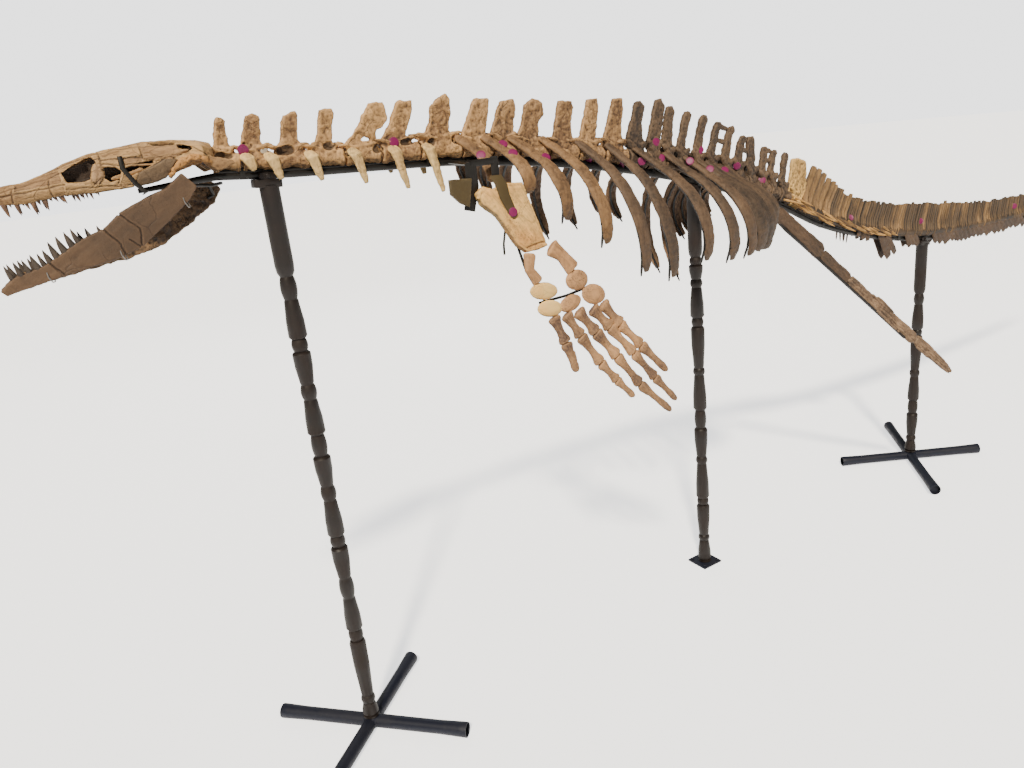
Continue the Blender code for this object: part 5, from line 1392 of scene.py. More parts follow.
def make_chevrons(rng):
    blank = chevron_blank()
    rows = [(x, drop, lean, 0.0125) for x, drop, lean in LONG_CHEVRONS]
    rows += LONG_PLANKS
    x = CHEVRON_START
    while x < CHEVRON_END:
        if abs(x + 0.02 - POST_X["rear"]) > 0.045:
            rows.append((x, along(CHEVRON_DROP, x) * rng.uniform(0.86, 1.08),
                         CHEVRON_LEAN * rng.uniform(0.85, 1.2),
                         0.0165))
        x += CHEVRON_PITCH * rng.uniform(0.9, 1.1) * (1.3 if x > 1.9 else 1)
    for name, side in SIDES:
        arms = []
        for x, drop, lean, half in rows:
            point, ahead, up = axis_frame(x)
            beside = Y * (side * max(along(BAR_RADIUS, x) + 0.0044, along(CORE_RADIUS, x) * 0.62))
            start = along(CORE_RADIUS, x) * 0.35
            root = point + beside - up * start
            tip = point + beside - up * drop + ahead * (lean * (drop - start))
            long = tip - root
            across = (ahead - long.normalized() * ahead.dot(long.normalized())).normalized()
            arms.append(copy_of(blank, place_matrix(root, across * half, Y * 0.0034, long)))
        chevrons = face_out(join(arms))
        fuse(chevrons, 0.0020, 1, ((relief("CLOUDS", 0.016), 0.0030),))
        hand_over(chevrons, f"{name}_chevrons", "limb_bone")
    spikes = []
    spike = sliver_blank()
    for x in (0.700, 0.716, 0.733, 0.742, 0.758):
        root = bar_point(x)
        tip = root + Vector((rng.uniform(-0.006, 0.004), 0, -0.030 - rng.uniform(0, 0.010)))
        spikes.append(copy_of(spike, place_matrix(root, X * 0.0035, Y * 0.0035, tip - root)))
    discard(blank, spike)
    hand_over(face_out(join(spikes)), "tail_root_spikes", "dark_bone_and_painted_shade", hollows=False, flat=True)


# Front paddle and hind limb

def paddle_point(x, z, out=0.0):
    return Vector((x, PADDLE_Y - PADDLE_SLOPE * (PADDLE_TOP_Z - z) - out, z))


PADDLE_NORMAL = Vector((0, -1, PADDLE_SLOPE)).normalized()


def make_shoulder():
    bumps = ((relief("CLOUDS", 0.045), 0.0040), (relief("CLOUDS", 0.010), 0.0016))
    outline = [paddle_point(x, z) for x, z in HUMERUS]
    core = plate(outline, PADDLE_NORMAL, 0.022)
    middle = sum(outline, Vector()) / len(outline)
    crown = plate([middle + (point - middle) * 0.86 for point in outline], PADDLE_NORMAL, 0.0265)
    ends = [bar([paddle_point(x, z, 0.002) for x, z in line], [(0.010, 0.012)] * len(line), PADDLE_NORMAL, 8)
            for line in (((-0.800, 1.322), (-0.790, 1.342), (-0.770, 1.336)),
                         ((-0.742, 1.342), (-0.686, 1.338)),
                         ((-0.700, 1.196), (-0.672, 1.196), (-0.650, 1.200)))]
    humerus = fuse(join([core, crown] + ends), 0.0022, 5, bumps)
    carve(humerus, -1, (((-0.750, 1.356), (-0.748, 1.335)),), 0.0060, 0.0022)
    carve(humerus, -1, (((-0.706, 1.1965), (-0.672, 1.2035), (-0.640, 1.2010)),), 0.0024, 0.0016)
    hand_over(humerus, "left_upper_arm", "paddle_bone", ("left_humerus",))
    blade = plate([Vector((x, BLADE_Y, z)) for x, z in SHOULDER_BLADE], Y, 0.009)
    fuse(blade, FINE, 2, bumps[1:])
    hand_over(blade, "left_shoulder_plate", "olive_strap", ("left_shoulder_blade",))
    for name, node, rows, finish in (("left_front_forearm", "left_radius", RADIUS_BONE, "forearm_bone"),
                                     ("left_back_forearm", "left_ulna", ULNA_BONE, "forearm_bone")):
        points = [paddle_point(x, z) for x, z, _ in rows]
        ends = [points[0] + (points[0] - points[1]).normalized() * 0.004,
                points[-1] + (points[-1] - points[-2]).normalized() * 0.004]
        points = [ends[0], points[0], points[0].lerp(points[1], 0.5), points[1],
                  points[1].lerp(points[2], 0.5),
                  points[2], ends[1]]
        w0, w1, w2 = (row[2] * 1.22 for row in rows)
        halves = [(w, 0.0070 + 0.12 * w) for w in (w0 * 0.72, w0, w0 * 0.3 + w1 * 0.75, w1 * 1.05,
                                                   w1 * 0.5 + w2 * 0.5,
                                                   w2, w2 * 0.72)]
        bone = fuse(bar(points, halves, (points[-1] - points[0]).cross(PADDLE_NORMAL)), FINE, 4, bumps)
        hand_over(bone, name, finish, (node,))
    make_wrist()
    make_fingers()


def make_wrist():
    across_plane = Vector((0, PADDLE_SLOPE, 1)).normalized()
    for index, (x, z, half_x, half_z, turn) in enumerate(WRIST):
        angle = math.radians(turn)
        rim = []
        for i in range(20):
            around = 2 * math.pi * i / 20
            u, v = half_x * 1.28 * math.cos(around), half_z * 1.08 * math.sin(around)
            rim.append(paddle_point(x + u * math.cos(angle) - v * math.sin(angle),
                                    z + u * math.sin(angle) + v * math.cos(angle)))
        bone = plate(rim, PADDLE_NORMAL, 0.0165)
        start_edit(bone)
        bpy.ops.mesh.select_all(action="DESELECT")
        mesh = bmesh.from_edit_mesh(bone.data)
        for face in mesh.faces:
            face.select_set(abs(face.normal.dot(PADDLE_NORMAL)) > 0.9)
        bmesh.update_edit_mesh(bone.data)
        bpy.ops.mesh.inset(thickness=0.0020, use_individual=True)
        bpy.ops.transform.resize(value=(1, 1.0, 1), center_override=tuple(paddle_point(x, z)))
        bpy.ops.mesh.inset(thickness=0.0022, depth=-0.0018, use_individual=True)
        bpy.ops.mesh.inset(thickness=min(half_x, half_z) * 0.35, depth=0.0006, use_individual=True)
        end_edit()
        smooth = bone.modifiers.new("Subdivision", "SUBSURF")
        smooth.levels = smooth.render_levels = 3
        push = bone.modifiers.new("Displace", "DISPLACE")
        push.texture = relief("CLOUDS", 0.016)
        push.strength = 0.0016
        apply_modifiers(bone)
        finish = "wrist_bone" if index < 2 else "forearm_bone"
        hand_over(bone, f"left_wrist_{index + 1}", finish, (f"left_wrist_bone_{index + 1}",))


def phalanx_blank(tip):
    """A finger bone of unit length along Z and unit half width, waisted between its two ends."""
    rows = [(0.62, 0.0), (0.92, 0.03), (1.0, 0.10), (0.80, 0.22), (0.62, 0.38), (0.56, 0.54), (0.64, 0.72)]
    rows += [(0.66, 0.84), (0.55, 0.94), (0.30, 1.0)] if tip else [(0.88, 0.86), (0.96, 0.93), (0.86, 0.98),
                                                                   (0.5, 1.0)]
    blank = straight_blank([(w, 0.24 + 0.30 * w) for w, _ in rows], 12)
    return lay_along(blank, [(Z * z, X, Y) for _, z in rows])


def make_fingers():
    rng = random.Random(3)
    middle_bone, last_bone = phalanx_blank(False), phalanx_blank(True)
    bumps = ((relief("CLOUDS", 0.016), 0.0028), (relief("CLOUDS", 0.006), 0.0010))
    for index, (joints, half) in enumerate(FINGERS):
        points = [paddle_point(x, z) for x, z in joints]
        bones = []
        for i, (start, end) in enumerate(zip(points, points[1:])):
            last = i == len(points) - 2
            size = half * (1 - 0.08 * i) * 1.58
            long = end - start
            across = long.cross(PADDLE_NORMAL).normalized() * size * rng.uniform(0.96, 1.05)
            short = 1.0 if last else 0.985
            bones.append(copy_of(last_bone if last else middle_bone,
                                 place_matrix(start, across, PADDLE_NORMAL * size, long * short)))
        if index == 0:
            long = points[2] - points[1]
            bump = points[1] + long * 0.45 + long.cross(PADDLE_NORMAL).normalized() * -0.0095
            bones.append(bar([bump - long * 0.20, bump - long * 0.05, bump + long * 0.10, bump + long * 0.25],
                             [(0.002, 0.003), (0.006, 0.005), (0.005, 0.005), (0.002, 0.003)], X, 8))
        for _, bone in enumerate(bones):
            fuse(bone, 0.0018, 2, bumps)
        finger = join(bones)
        hand_over(finger, f"left_finger_{index + 1}_bones", "finger_bone",
                  (f"left_finger_{index + 1}",))
    discard(middle_bone, last_bone)


def limb_axes():
    ahead = (LIMB_TIP - LIMB_TOP).normalized()
    normal = (-Y - ahead * (-Y).dot(ahead)).normalized()
    return ahead, normal, normal.cross(ahead)


def make_hind_limb():
    rng = random.Random(9)
    _, normal, across = limb_axes()
    down = across if across.z < 0 else -across
    bumps = ((relief("CLOUDS", 0.030), 0.0040), (relief("CLOUDS", 0.009), 0.0022))
    splinter = sliver_blank()
    for label, node, start, end, half, thick, sink in LIMB_BONES:
        low, high = LIMB_TOP.lerp(LIMB_TIP, start) + down * sink, LIMB_TOP.lerp(LIMB_TIP, end) + down * sink
        points = [low.lerp(high, share) for share in (0, 0.06, 0.25, 0.5, 0.75, 0.94, 1)]
        if label == "toe":
            wides = (0.80, 0.95, 1.0, 0.92, 0.78, 0.55, 0.28)
        elif label == "thigh":
            wides = (0.75, 0.90, 0.88, 0.92, 1.0, 1.06, 0.70)
        else:
            wides = (0.46, 0.95, 1.04, 0.88, 0.98, 0.96, 0.50)
        pieces = [bar(points, [(half * wide, thick * (0.75 + 0.25 * wide)) for wide in wides], across, 8)]
        if label in ("foot", "toe", "ankle"):
            for _ in range(13):
                share = rng.uniform(-0.08, 0.62)
                side = rng.uniform(-0.95, 0.95) * (1 if share < 0.4 else 0.7)
                root = low.lerp(high, share) + across * (half * side) + normal * (thick * rng.uniform(0.2,
                                                                                                      0.8))
                reach = (high - low) * rng.uniform(0.30, 0.44)
                pieces.append(copy_of(splinter, place_matrix(root, across * rng.uniform(0.003, 0.0065),
                                                             normal * 0.0050, reach)))
        bone = fuse(join(pieces), 0.0020, 1, bumps)
        finish = "splinter_bone" if label in ("foot", "toe", "ankle") else "limb_bone"
        hand_over(bone, f"left_{label}", finish, (node,))
    discard(splinter)


# Stand

def make_posts():
    for name in POST_X:
        x = POST_X[name]
        before, after = bar_point(x - CRADLE[0]), bar_point(x + CRADLE[0])
        seat = (before + after) / 2
        ahead = (after - before).normalized()
        up = Vector((-ahead.z, 0, ahead.x))
        top = along(BAR_RADIUS, x) + GAP
        foot = (0.006 if name == "middle" else 2 * LEG_RADIUS) - DATUM.z + GAP
        rows = [(foot, 0.0215), (foot + 0.004, 0.0215), (foot + 0.007, POST_NECK)]
        end = seat.z - top - 0.014
        stops = [(foot + 0.009, foot + 0.009)] + [(z - half, z + half) for z,
                                                  half in BEADS[name]] + [(end, end)]
        for number, ((_, low), (high, bead_top)) in enumerate(zip(stops, stops[1:])):
            shares = ((0.0, 0.86), (0.05, 1.0), (0.45, 0.97), (0.75, 0.84), (0.97, 0.76), (1.0, 0.70))
            if number % 2 or bead_top == high:
                shares = [(1 - share, radius) for share, radius in reversed(shares)]
            if bead_top == high:
                shares = ((0.0, 0.74), (0.04, 0.92), (0.12, 1.0), (1.0, 1.0))
            rows += [(low + (high - low) * share, POST_RADIUS * radius) for share, radius in shares]
            if bead_top > high:
                half = (bead_top - high) / 2
                for turn in (-1, -0.86, -0.62, -0.3, 0, 0.3, 0.62, 0.86, 1):
                    swell = math.cos(turn * 1.5) ** 0.7
                    rows.append(((high + bead_top) / 2 + half * 0.93 * turn,
                                 POST_NECK + (POST_BEAD - POST_NECK) * swell))
        blank = straight_blank([(radius, radius) for _, radius in rows], 32)
        post = lay_along(blank, [(Vector((x, 0, z)), X, Y) for z, _ in rows])
        pieces = [post]
        middle = seat - up * (top + CRADLE[2])
        pieces.append(bevelled(block(middle, (ahead, Y, up), CRADLE), 0.002))
        if name != "middle":
            cheek = along(BAR_RADIUS, x) + 0.0030 + GAP
            for side in (-1, 1):
                pieces.append(bevelled(block(seat + Y * (side * cheek) - up * 0.005, (ahead, Y, up),
                                             (0.018, 0.0026, 0.010)), 0.0012))
                bolt = bar([seat + Y * (side * (cheek + step)) - up * 0.002 for step in (0.001, 0.0055,
                                                                                         0.0065)],
                           [(0.0055, 0.0055), (0.0055, 0.0055), (0.0042, 0.0042)], X, 6)
                pieces.append(bolt)
        hand_over(join(pieces), f"{name}_post", "post_iron", (f"stand_post_{name}",), hollows=False,
                  flat=True)


def bevelled(piece, width):
    bevel = piece.modifiers.new("Bevel", "BEVEL")
    bevel.width = width
    bevel.segments = 2
    apply_modifiers(piece)
    return piece


def make_bases():
    for name in ("front", "rear"):
        middle = Vector((POST_X[name], 0, LEG_RADIUS + 0.0001 - DATUM.z))
        tubes = []
        for turn, reach in LEGS[name]:
            ahead = Vector((math.cos(math.radians(turn)), math.sin(math.radians(turn)), 0))
            across = Z.cross(ahead)
            rows = [(0.014 - reach, LEG_RADIUS - LEG_WALL), (-reach, LEG_RADIUS - LEG_WALL),
                    (-reach, LEG_RADIUS - 0.0006), (0.0012 - reach, LEG_RADIUS),
                    (0.020 - reach, LEG_RADIUS - 0.0004)]
            rows += [(reach * share, LEG_RADIUS - 0.0020) for share in (-0.72, -0.4, 0, 0.4, 0.72)]
            rows += [(reach - 0.020, LEG_RADIUS - 0.0004), (reach - 0.0012, LEG_RADIUS),
                     (reach, LEG_RADIUS - 0.0006), (reach, LEG_RADIUS - LEG_WALL),
                     (reach - 0.014, LEG_RADIUS - LEG_WALL)]
            blank = straight_blank([(radius, radius) for _, radius in rows], 32)
            for vert in blank.data.vertices:
                step = rows[round(vert.co.z)][0]
                vert.co = middle + ahead * step + across * vert.co.x + Z * vert.co.y
            tubes.append(blank)
            face_out(blank)
        weld = [bar([middle + Z * step for step in (-0.016, 0.004, 0.015, 0.0180)],
                    [(0.019, 0.019), (0.024, 0.024), (0.021, 0.021), (0.018, 0.018)], X, 16)]
        for turn, _ in LEGS[name]:
            ahead = Vector((math.cos(math.radians(turn)), math.sin(math.radians(turn)), 0))
            weld.append(bar([middle + ahead * step for step in (-0.052, -0.030, 0, 0.030, 0.052)],
                            [(0.0150, 0.0150), (0.0175, 0.0175), (0.0182, 0.0182), (0.0175, 0.0175),
                             (0.0150, 0.0150)],
                            Z, 12))
        weld = fuse(join(weld), 0.0026, 6, ((relief("CLOUDS", 0.012), 0.0020),))
        for vert in weld.data.vertices:
            vert.co.z = max(vert.co.z, 0.0006 - DATUM.z)
        hand_over(join(tubes + [weld]), f"{name}_base", "base_iron", (f"stand_base_{name}",),
                  hollows=False, flat=True)
    square = bevelled(block(Vector((POST_X["middle"], 0, 0.003 - DATUM.z)), (X, Y, Z),
                            (0.040, 0.040, 0.003)), 0.0012)
    bolts = [bar([Vector((POST_X["middle"] + 0.030 * a, 0.030 * b, z - DATUM.z)) for z in (0.005, 0.0095,
                                                                                           0.0105)],
                 [(0.006, 0.006), (0.006, 0.006), (0.0045, 0.0045)], X, 6) for a,
             b in ((-1, -1), (1, -1), (1, 1), (-1, 1))]
    hand_over(join([square] + bolts), "middle_foot_plate", "base_iron", ("stand_foot_middle",),
              hollows=False, flat=True)


def round_rod(points, radius, sides=12):
    """A round rod that takes its bends smoothly."""
    line = [points[0]]
    for a, b, c in zip(points, points[1:], points[2:]):
        line += [b.lerp(a, min(0.35, 0.012 / max((b - a).length, 1e-6))), b.lerp((a + c) / 2, 0.05),
                 b.lerp(c, min(0.35, 0.012 / max((c - b).length, 1e-6)))]
    line.append(points[-1])
    wide = (points[-1] - points[0]).orthogonal()
    frames = []
    for i, point in enumerate(line):
        ahead = (line[min(i + 1, len(line) - 1)] - line[max(i - 1, 0)]).normalized()
        wide = (wide - ahead * wide.dot(ahead)).normalized()
        frames.append((point, wide, ahead.cross(wide)))
    return lay_along(straight_blank([(radius, radius)] * len(line), sides), frames)


def make_bars():
    for number, (start, end) in enumerate(zip(BAR_ENDS, BAR_ENDS[1:])):
        steps = max(4, round((end - start) / 0.04))
        points = [bar_point(start + GAP / 2 + (end - start - GAP) * i / steps) for i in range(steps + 1)]
        halves = [(along(BAR_RADIUS, point.x),) * 2 for point in points]
        pieces = [bar(points, halves, Y, 12)]
        crest = [point + Z * (along(BAR_RADIUS,
                                    point.x) + 0.0015) for point in points if point.x > NECK_START]
        pieces.append(bar(crest, [(0.0055, 0.0050)] * len(crest), Y, 8))
        for share in (0.12, 0.5, 0.88):
            x = max(start + (end - start) * share, NECK_START + 0.06)
            point, ahead, up = axis_frame(x)
            low = bar_point(x)
            pieces.append(bevelled(block((low + point - up * along(CORE_RADIUS, x)) / 2, (ahead, Y, up),
                                         (0.006, 0.008, 0.012)), 0.001))
        hand_over(join(pieces), f"spine_bar_{number + 1}", "rod_iron",
                  (f"stand_spine_bar_{number + 1}",),
                  hollows=False, flat=True)
    for name, side in SIDES:
        make_rib_rods(name, side)
    make_paddle_iron()
    make_small_irons()


def make_rib_rods(name, side):
    first, last = RIBS[0][0] - 0.015, RIBS[-1][0] + 0.015
    points = []
    for i in range(25):
        x = first + (last - first) * i / 24
        points.append(bar_point(x) + Y * (side * (along(BAR_RADIUS, x) + GAP + 0.0025)))
    pieces = [bar(points, [(0.007, 0.0025)] * len(points), Z, 8)]
    for row in RIBS:
        inward = 0.0055 + ROD_RADIUS
        line = []
        # Each rod runs near its rib's front edge: it is real iron, and its black also stands in as painted shade
        # along that edge.
        for i in range(1, 13):
            line.append(rib_point(row, side, RIB_START + (RIB_END - RIB_START) * i / 12, inward)
                        - X * (0.0105 * min(1, i / 6)))
        line.append(line[-1] + (line[-1] - line[-2]).normalized() * ROD_PAST_TIP)
        halves = [(ROD_RADIUS, ROD_RADIUS)] * (len(line) - 1) + [(ROD_RADIUS * 0.6, ROD_RADIUS * 0.6)]
        pieces.append(bar(line, halves, X, 8))
    hand_over(join(pieces), f"{name}_rib_rods", "rod_iron", (f"stand_rib_irons_{name}",),
              hollows=False,
              flat=True)


def behind_paddle(x, z, depth):
    return paddle_point(x, z) - PADDLE_NORMAL * (depth + ROD_RADIUS + GAP)


def make_paddle_iron():
    start = bar_point(-0.800)
    side_y = BLADE_Y + 0.005 + ROD_RADIUS
    corner = Vector((-0.806, side_y, start.z - 0.004))
    top = Vector((-0.735, side_y + 0.008, corner.z))
    humerus = 0.013
    rods = [
        bar([start + Vector((0, -along(BAR_RADIUS, start.x) - 0.001, 0)), corner, corner - Z * 0.05,
             Vector((-0.822, side_y, 1.300))],
            [(0.010, 0.004), (0.015, 0.005), (0.017, 0.005), (0.015, 0.004)], X, 8),
        bar([corner, corner.lerp(top, 0.5), top], [(0.008, 0.004)] * 3, Z, 8),
        bar([top + Z * 0.010, top - Z * 0.020, Vector((-0.738, top.y - 0.002, 1.356))],
            [(0.011, 0.004)] * 3, X, 8),
        round_rod([top, behind_paddle(-0.738, 1.352, humerus), behind_paddle(-0.716, 1.215, humerus),
                   behind_paddle(-0.708, 1.140, 0.0085), behind_paddle(-0.684, 1.085, 0.009),
                   behind_paddle(-0.660, 1.035, 0.009)], ROD_RADIUS),
        round_rod([behind_paddle(-0.728, 1.275, humerus), behind_paddle(-0.752, 1.215, humerus),
                   behind_paddle(-0.756, 1.190, humerus)], ROD_RADIUS * 0.8),
        round_rod([behind_paddle(-0.690, 1.060, 0.009), behind_paddle(-0.605, 1.062, 0.009),
                   behind_paddle(-0.540, 1.070, 0.009)], ROD_RADIUS),
    ]
    hand_over(join(rods), "paddle_bracket", "rod_iron", ("stand_shoulder_iron",), hollows=False,
              flat=True)
    strap_points = [paddle_point(-0.741, 1.372, -0.004), paddle_point(-0.742, 1.350, 0.0155),
                    paddle_point(-0.741, 1.325, 0.0168), paddle_point(-0.730, 1.290, 0.0170),
                    paddle_point(-0.724, 1.274, 0.0165)]
    strap = bar(strap_points, [(0.0175, 0.0016), (0.0165, 0.0016), (0.0150, 0.0016), (0.0120, 0.0016),
                               (0.0080, 0.0016)], X, 8)
    hand_over(strap, "humerus_strap", "olive_strap", hollows=False, flat=True)


def make_small_irons():
    _, normal, across = limb_axes()
    down = across if across.z < 0 else -across
    start = bar_point(0.285)
    points = [start - Y * (along(BAR_RADIUS, start.x) + 0.0040 + GAP),
              start + Vector((0.018, -0.040, -0.046))]
    for share in (0.03, 0.205, 0.365, 0.50, 0.72):
        half = min(row[4] + row[6] for row in LIMB_BONES if row[2] <= share + 0.01 and row[3] >= share - 0.01)
        points.append(LIMB_TOP.lerp(LIMB_TIP, share) + down * (half - 0.0035))
    strip = bar(points, [(0.0060, 0.0048)] * len(points), normal, 8)
    hand_over(strip, "hind_limb_strip", "rod_iron", ("stand_hind_limb_iron",), hollows=False,
              flat=True)
    under = bar_point(-1.345) - Z * (along(BAR_RADIUS, -1.345) + ROD_RADIUS + 0.0015)
    line = [jaw_point(x, z, -1, True) + Y * (ROD_RADIUS + 0.0006) for x,
            z in ((-1.475, 1.415), (-1.430, 1.438))]
    line += [under + Vector((-0.030, -0.030, -0.001)), under, under + Vector((-0.020, 0.034, -0.004))]
    line += [jaw_point(x, z, 1, True) - Y * (ROD_RADIUS + 0.0006) for x,
             z in ((-1.430, 1.425), (-1.442, 1.420))]
    hand_over(round_rod(line, ROD_RADIUS), "jaw_rod", "rod_iron", ("stand_jaw_iron",),
              hollows=False, flat=True)
    under = bar_point(-1.500) - Z * (along(BAR_RADIUS, -1.500) + 0.0024)
    points = [under + Vector((0, 0.012, 0)), under + Vector((-0.003, -0.048, 0.005)),
              Vector((-1.508, -0.0655, 1.436)), Vector((-1.521, -0.0645, 1.452)),
              Vector((-1.538, -0.0600, 1.484)), Vector((-1.537, -0.0520, 1.506))]
    strap = bar(points, [(0.0045, 0.0014)] * len(points), Vector((1, 0, 0.4)), 8)
    hand_over(strap, "cheek_strap", "rod_iron", ("stand_skull_strap",), hollows=False, flat=True)
    clips = []
    for x, z in ((-1.574, 1.318), (-1.707, 1.297), (-1.440, 1.402)):
        hold = jaw_point(x, z + 0.004, -1, False)
        loop = [hold + Vector((-0.003, -0.0008, 0.010)), hold + Vector((-0.002, -0.003, 0.0)),
                hold + Vector((0.003, -0.003, -0.010)), hold + Vector((0.008, 0.002, -0.009)),
                hold + Vector((0.004, 0.010, 0.002))]
        clips.append(round_rod(loop, 0.0011, 8))
    hand_over(join(clips), "jaw_wire_clips", "wire_steel", hollows=False, flat=True)


# Paint dabs

def dab_at(across, down, radius):
    """A thin round dab of paint, laid on whatever the picture shows at that place."""
    ray = (CAMERA_RIGHT * ((across - PICTURE_WIDTH / 2) * SENSOR_MM / PICTURE_WIDTH)
           + CAMERA_UP * ((PICTURE_HEIGHT / 2 - down) * SENSOR_MM / PICTURE_WIDTH)
           + CAMERA_AHEAD * LENS_MM).normalized()
    graph = bpy.context.evaluated_depsgraph_get()
    hit, place, normal, _, obj, _ = bpy.context.scene.ray_cast(graph, CAMERA_PLACE, ray)
    if not hit or obj.get("stage"):
        return None
    face = (normal - ray * 0.6).normalized()
    wide = face.orthogonal().normalized()
    deep = face.cross(wide)
    rows = ((0.86, -0.006), (1.0, -0.004), (1.0, 0.0014), (0.92, 0.0018), (0.5, 0.0020))
    blank = straight_blank([(radius * share, radius * share) for share, _ in rows], 20)
    return lay_along(blank, [(place - DATUM + face * step, wide, deep) for _, step in rows])


def make_dabs(dab_radius):
    for name, spots, finish, radius in (("magenta_dabs", DABS, "magenta_dab", dab_radius),
                                        ("white_dabs", WHITE_DABS, "white_dab", 0.0080),
                                        ("bolt_head", (BOLT_DAB,), "magenta_dab", 0.0110)):
        dabs = [dab for dab in (dab_at(across, down, radius) for across, down in spots) if dab]
        if dabs:
            hand_over(join(dabs), name, finish, hollows=False, flat=True)


# Stage

def make_sky():
    """A soft white studio sky that is darker from below, and plain white where it is looked at."""
    world = bpy.context.scene.world or bpy.data.worlds.new("studio")
    bpy.context.scene.world = world
    world.use_nodes = True
    world.node_tree.nodes.clear()
    bench = Nodes(world.node_tree)
    up = bench.add("ShaderNodeSeparateXYZ",
                   {0: bench.add("ShaderNodeTexCoord").outputs["Generated"]}).outputs["Z"]
    strength = bench.add("ShaderNodeMapRange",
                         {"Value": up, "From Min": -0.3, "From Max": 0.6, "To Min": 0.07,
                                                "To Max": 0.30})
    lighting = bench.add("ShaderNodeBackground",
                         {"Color": (1.0, 0.97, 0.94, 1), "Strength": strength.outputs[0]})
    seen = bench.add("ShaderNodeBackground", {"Color": (1, 1, 1, 1), "Strength": 2.5})
    looked_at = bench.add("ShaderNodeLightPath").outputs["Is Camera Ray"]
    both = bench.add("ShaderNodeMixShader", {0: looked_at, 1: lighting.outputs[0], 2: seen.outputs[0]})
    bench.add("ShaderNodeOutputWorld", {"Surface": both.outputs[0]})


def make_stage(looks):
    bpy.ops.object.select_all(action="DESELECT")
    bpy.ops.mesh.primitive_circle_add(vertices=96, radius=looks.floor_radius, fill_type="NGON",
                                      location=(0.5, 0, 0))
    floor = bpy.context.object
    bpy.ops.object.transform_apply(location=True, rotation=True, scale=True)
    floor.name = "floor"
    bench, shader, place = material_start("pale_floor")
    tone = bench.mix(bench.band(bench.noise(place, 0.6, 2.0), 0.3, 0.7), (*looks.floor, 1),
                     (*[c * 0.985 for c in looks.floor], 1))
    bench.tree.links.new(tone, shader.inputs["Base Color"])
    shader.inputs["Roughness"].default_value = 0.9
    shader.inputs["Specular IOR Level"].default_value = 0.1
    shader.inputs["Emission Color"].default_value = (1, 1, 1, 1)
    shader.inputs["Emission Strength"].default_value = 1.45
    floor.data.materials.append(MATERIALS["pale_floor"])
    for name, kind, place, aim, size, power, colour in (
        ("key_light", "SUN", (-3.6, -4.6, 7.0), (0, 0, 1.0), 0.08, 5.3, (1.0, 0.90, 0.73)),
        ("fill_light", "AREA", (3.4, -4.6, 2.2), (0.6, 0, 1.0), 3.0, 12, (1.0, 0.95, 0.88)),
        ("back_light", "AREA", (1.0, 4.6, 3.6), (0.2, 0, 1.1), 3.0, 60, (0.95, 0.97, 1.0)),
    ):
        light = bpy.data.lights.new(name, kind)
        if kind == "SUN":
            light.angle = size
        else:
            light.size = size
        light.energy = power
        light.color = colour
        lamp = bpy.data.objects.new(name, light)
        lamp.location = place
        lamp.rotation_euler = (Vector(aim) - Vector(place)).to_track_quat("-Z", "Y").to_euler()
        bpy.context.scene.collection.objects.link(lamp)
    floor.visible_diffuse = False
    make_sky()
    camera = bpy.data.cameras.new("camera")
    camera.lens = LENS_MM
    camera.sensor_width = SENSOR_MM
    camera.clip_end = 200
    eye = bpy.data.objects.new("camera", camera)
    turn = Matrix((CAMERA_RIGHT, CAMERA_UP, -CAMERA_AHEAD)).transposed().to_4x4()
    eye.matrix_world = Matrix.Translation(CAMERA_PLACE) @ turn
    bpy.context.scene.collection.objects.link(eye)
    bpy.context.scene.camera = eye


# Add-on

class MosasaurLooks(bpy.types.PropertyGroup):
    """Colours and sizes that a user would change."""

    pale_bone: bpy.props.FloatVectorProperty(
        name="Pale bone", description="Lightest colour of the skull", subtype="COLOR", size=3, min=0, max=1,
        default=(0.66, 0.42, 0.190))
    brown_bone: bpy.props.FloatVectorProperty(
        name="Brown bone", description="Lightest colour of the back and ribs", subtype="COLOR", size=3, min=0,
        max=1, default=(0.175, 0.113, 0.067))
    jaw_bone: bpy.props.FloatVectorProperty(
        name="Jaw bone", description="Lightest colour of the lower jaw", subtype="COLOR", size=3, min=0,
        max=1,
        default=(0.165, 0.098, 0.054))
    iron: bpy.props.FloatVectorProperty(
        name="Post paint", description="Paint of the turned posts", subtype="COLOR", size=3, min=0, max=1,
        default=(0.0085, 0.0055, 0.0045))
    base_iron: bpy.props.FloatVectorProperty(
        name="Base paint", description="Paint of the base tubes", subtype="COLOR", size=3, min=0, max=1,
        default=(0.008, 0.010, 0.021))
    dab: bpy.props.FloatVectorProperty(
        name="Dabs", description="Paint of the round dabs on the bones", subtype="COLOR", size=3, min=0,
        max=1,
        default=(0.22, 0.002, 0.090))
    floor: bpy.props.FloatVectorProperty(
        name="Floor", description="Colour of the studio floor", subtype="COLOR", size=3, min=0, max=1,
        default=(0.92, 0.93, 0.95))
    dab_radius: bpy.props.FloatProperty(
        name="Dab radius", description="Radius of the round dabs on the bones", unit="LENGTH", min=0.004,
        max=0.02,
        default=0.0115)
    floor_radius: bpy.props.FloatProperty(
        name="Floor radius", description="Radius of the studio floor", unit="LENGTH", min=6, max=60,
        default=30)


class MakeSkull(bpy.types.Operator):
    """Model the skull with its cheek bones"""
    bl_idname = "mosasaur.make_skull"
    bl_label = "Skull"

    def execute(self, context):
        make_skull()
        return {"FINISHED"}


class MakeJaws(bpy.types.Operator):
    """Model both lower jaws"""
    bl_idname = "mosasaur.make_jaws"
    bl_label = "Lower jaws"

    def execute(self, context):
        make_jaws()
        return {"FINISHED"}


class MakeTeeth(bpy.types.Operator):
    """Model the four rows of teeth"""
    bl_idname = "mosasaur.make_teeth"
    bl_label = "Teeth"

    def execute(self, context):
        make_teeth()
        return {"FINISHED"}


class MakeBackbone(bpy.types.Operator):
    """Model the vertebrae of neck and back with the neck ribs"""
    bl_idname = "mosasaur.make_backbone"
    bl_label = "Backbone"

    def execute(self, context):
        make_backbone()
        return {"FINISHED"}


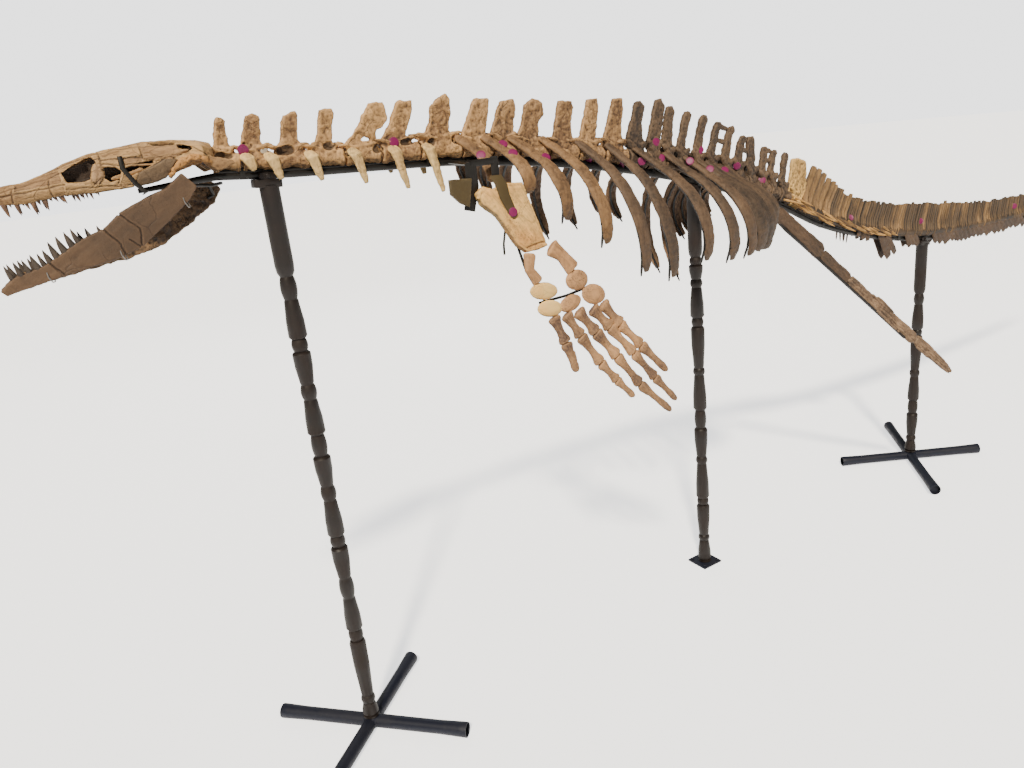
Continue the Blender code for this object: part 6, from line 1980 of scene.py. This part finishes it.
class MakeRibs(bpy.types.Operator):
    """Model the ribs of both sides"""
    bl_idname = "mosasaur.make_ribs"
    bl_label = "Ribs"

    def execute(self, context):
        make_ribs()
        return {"FINISHED"}


class MakeTail(bpy.types.Operator):
    """Model the tail with its planks, slivers and chevrons"""
    bl_idname = "mosasaur.make_tail"
    bl_label = "Tail"

    def execute(self, context):
        make_tail()
        return {"FINISHED"}


class MakePaddle(bpy.types.Operator):
    """Model the front paddle with its shoulder plate"""
    bl_idname = "mosasaur.make_paddle"
    bl_label = "Front paddle"

    def execute(self, context):
        make_shoulder()
        return {"FINISHED"}


class MakeHindLimb(bpy.types.Operator):
    """Model the hind limb"""
    bl_idname = "mosasaur.make_hind_limb"
    bl_label = "Hind limb"

    def execute(self, context):
        make_hind_limb()
        return {"FINISHED"}


class MakePosts(bpy.types.Operator):
    """Model the three turned posts"""
    bl_idname = "mosasaur.make_posts"
    bl_label = "Posts"

    def execute(self, context):
        make_posts()
        return {"FINISHED"}


class MakeBases(bpy.types.Operator):
    """Model the two base crosses and the foot plate"""
    bl_idname = "mosasaur.make_bases"
    bl_label = "Bases"

    def execute(self, context):
        make_bases()
        return {"FINISHED"}


class MakeBars(bpy.types.Operator):
    """Model the iron bars, rods and straps that carry the bones"""
    bl_idname = "mosasaur.make_bars"
    bl_label = "Bars and rods"

    def execute(self, context):
        make_bars()
        return {"FINISHED"}


class MakeDabs(bpy.types.Operator):
    """Put the round paint dabs on the bones"""
    bl_idname = "mosasaur.make_dabs"
    bl_label = "Paint dabs"

    def execute(self, context):
        make_dabs(context.scene.mosasaur_looks.dab_radius)
        return {"FINISHED"}


class MakeStage(bpy.types.Operator):
    """Add the floor, the lights and the camera"""
    bl_idname = "mosasaur.make_stage"
    bl_label = "Stage"

    def execute(self, context):
        make_stage(context.scene.mosasaur_looks)
        return {"FINISHED"}


STEPS = (MakeSkull, MakeJaws, MakeTeeth, MakeBackbone, MakeRibs, MakeTail, MakePaddle, MakeHindLimb,
         MakePosts,
         MakeBases, MakeBars, MakeDabs, MakeStage)


class MosasaurPanel(bpy.types.Panel):
    """Lists the steps and the colours"""
    bl_idname = "VIEW3D_PT_mosasaur"
    bl_label = "Mounted mosasaur"
    bl_space_type = "VIEW_3D"
    bl_region_type = "UI"
    bl_category = "Mosasaur"

    def draw(self, context):
        for step in STEPS:
            self.layout.operator(step.bl_idname)
        for name in MosasaurLooks.__annotations__:
            self.layout.prop(context.scene.mosasaur_looks, name)


CLASSES = (MosasaurLooks, *STEPS, MosasaurPanel)


def register():
    for cls in CLASSES:
        bpy.utils.register_class(cls)
    bpy.types.Scene.mosasaur_looks = bpy.props.PointerProperty(type=MosasaurLooks)


def unregister():
    del bpy.types.Scene.mosasaur_looks
    for cls in reversed(CLASSES):
        bpy.utils.unregister_class(cls)


def main():
    register()
    make_finishes(bpy.context.scene.mosasaur_looks)
    for step in STEPS:
        group, name = step.bl_idname.split(".")
        if getattr(getattr(bpy.ops, group), name)() != {"FINISHED"}:
            raise RuntimeError(f"{step.bl_label} didn't finish")


if __name__ == "__main__":
    main()
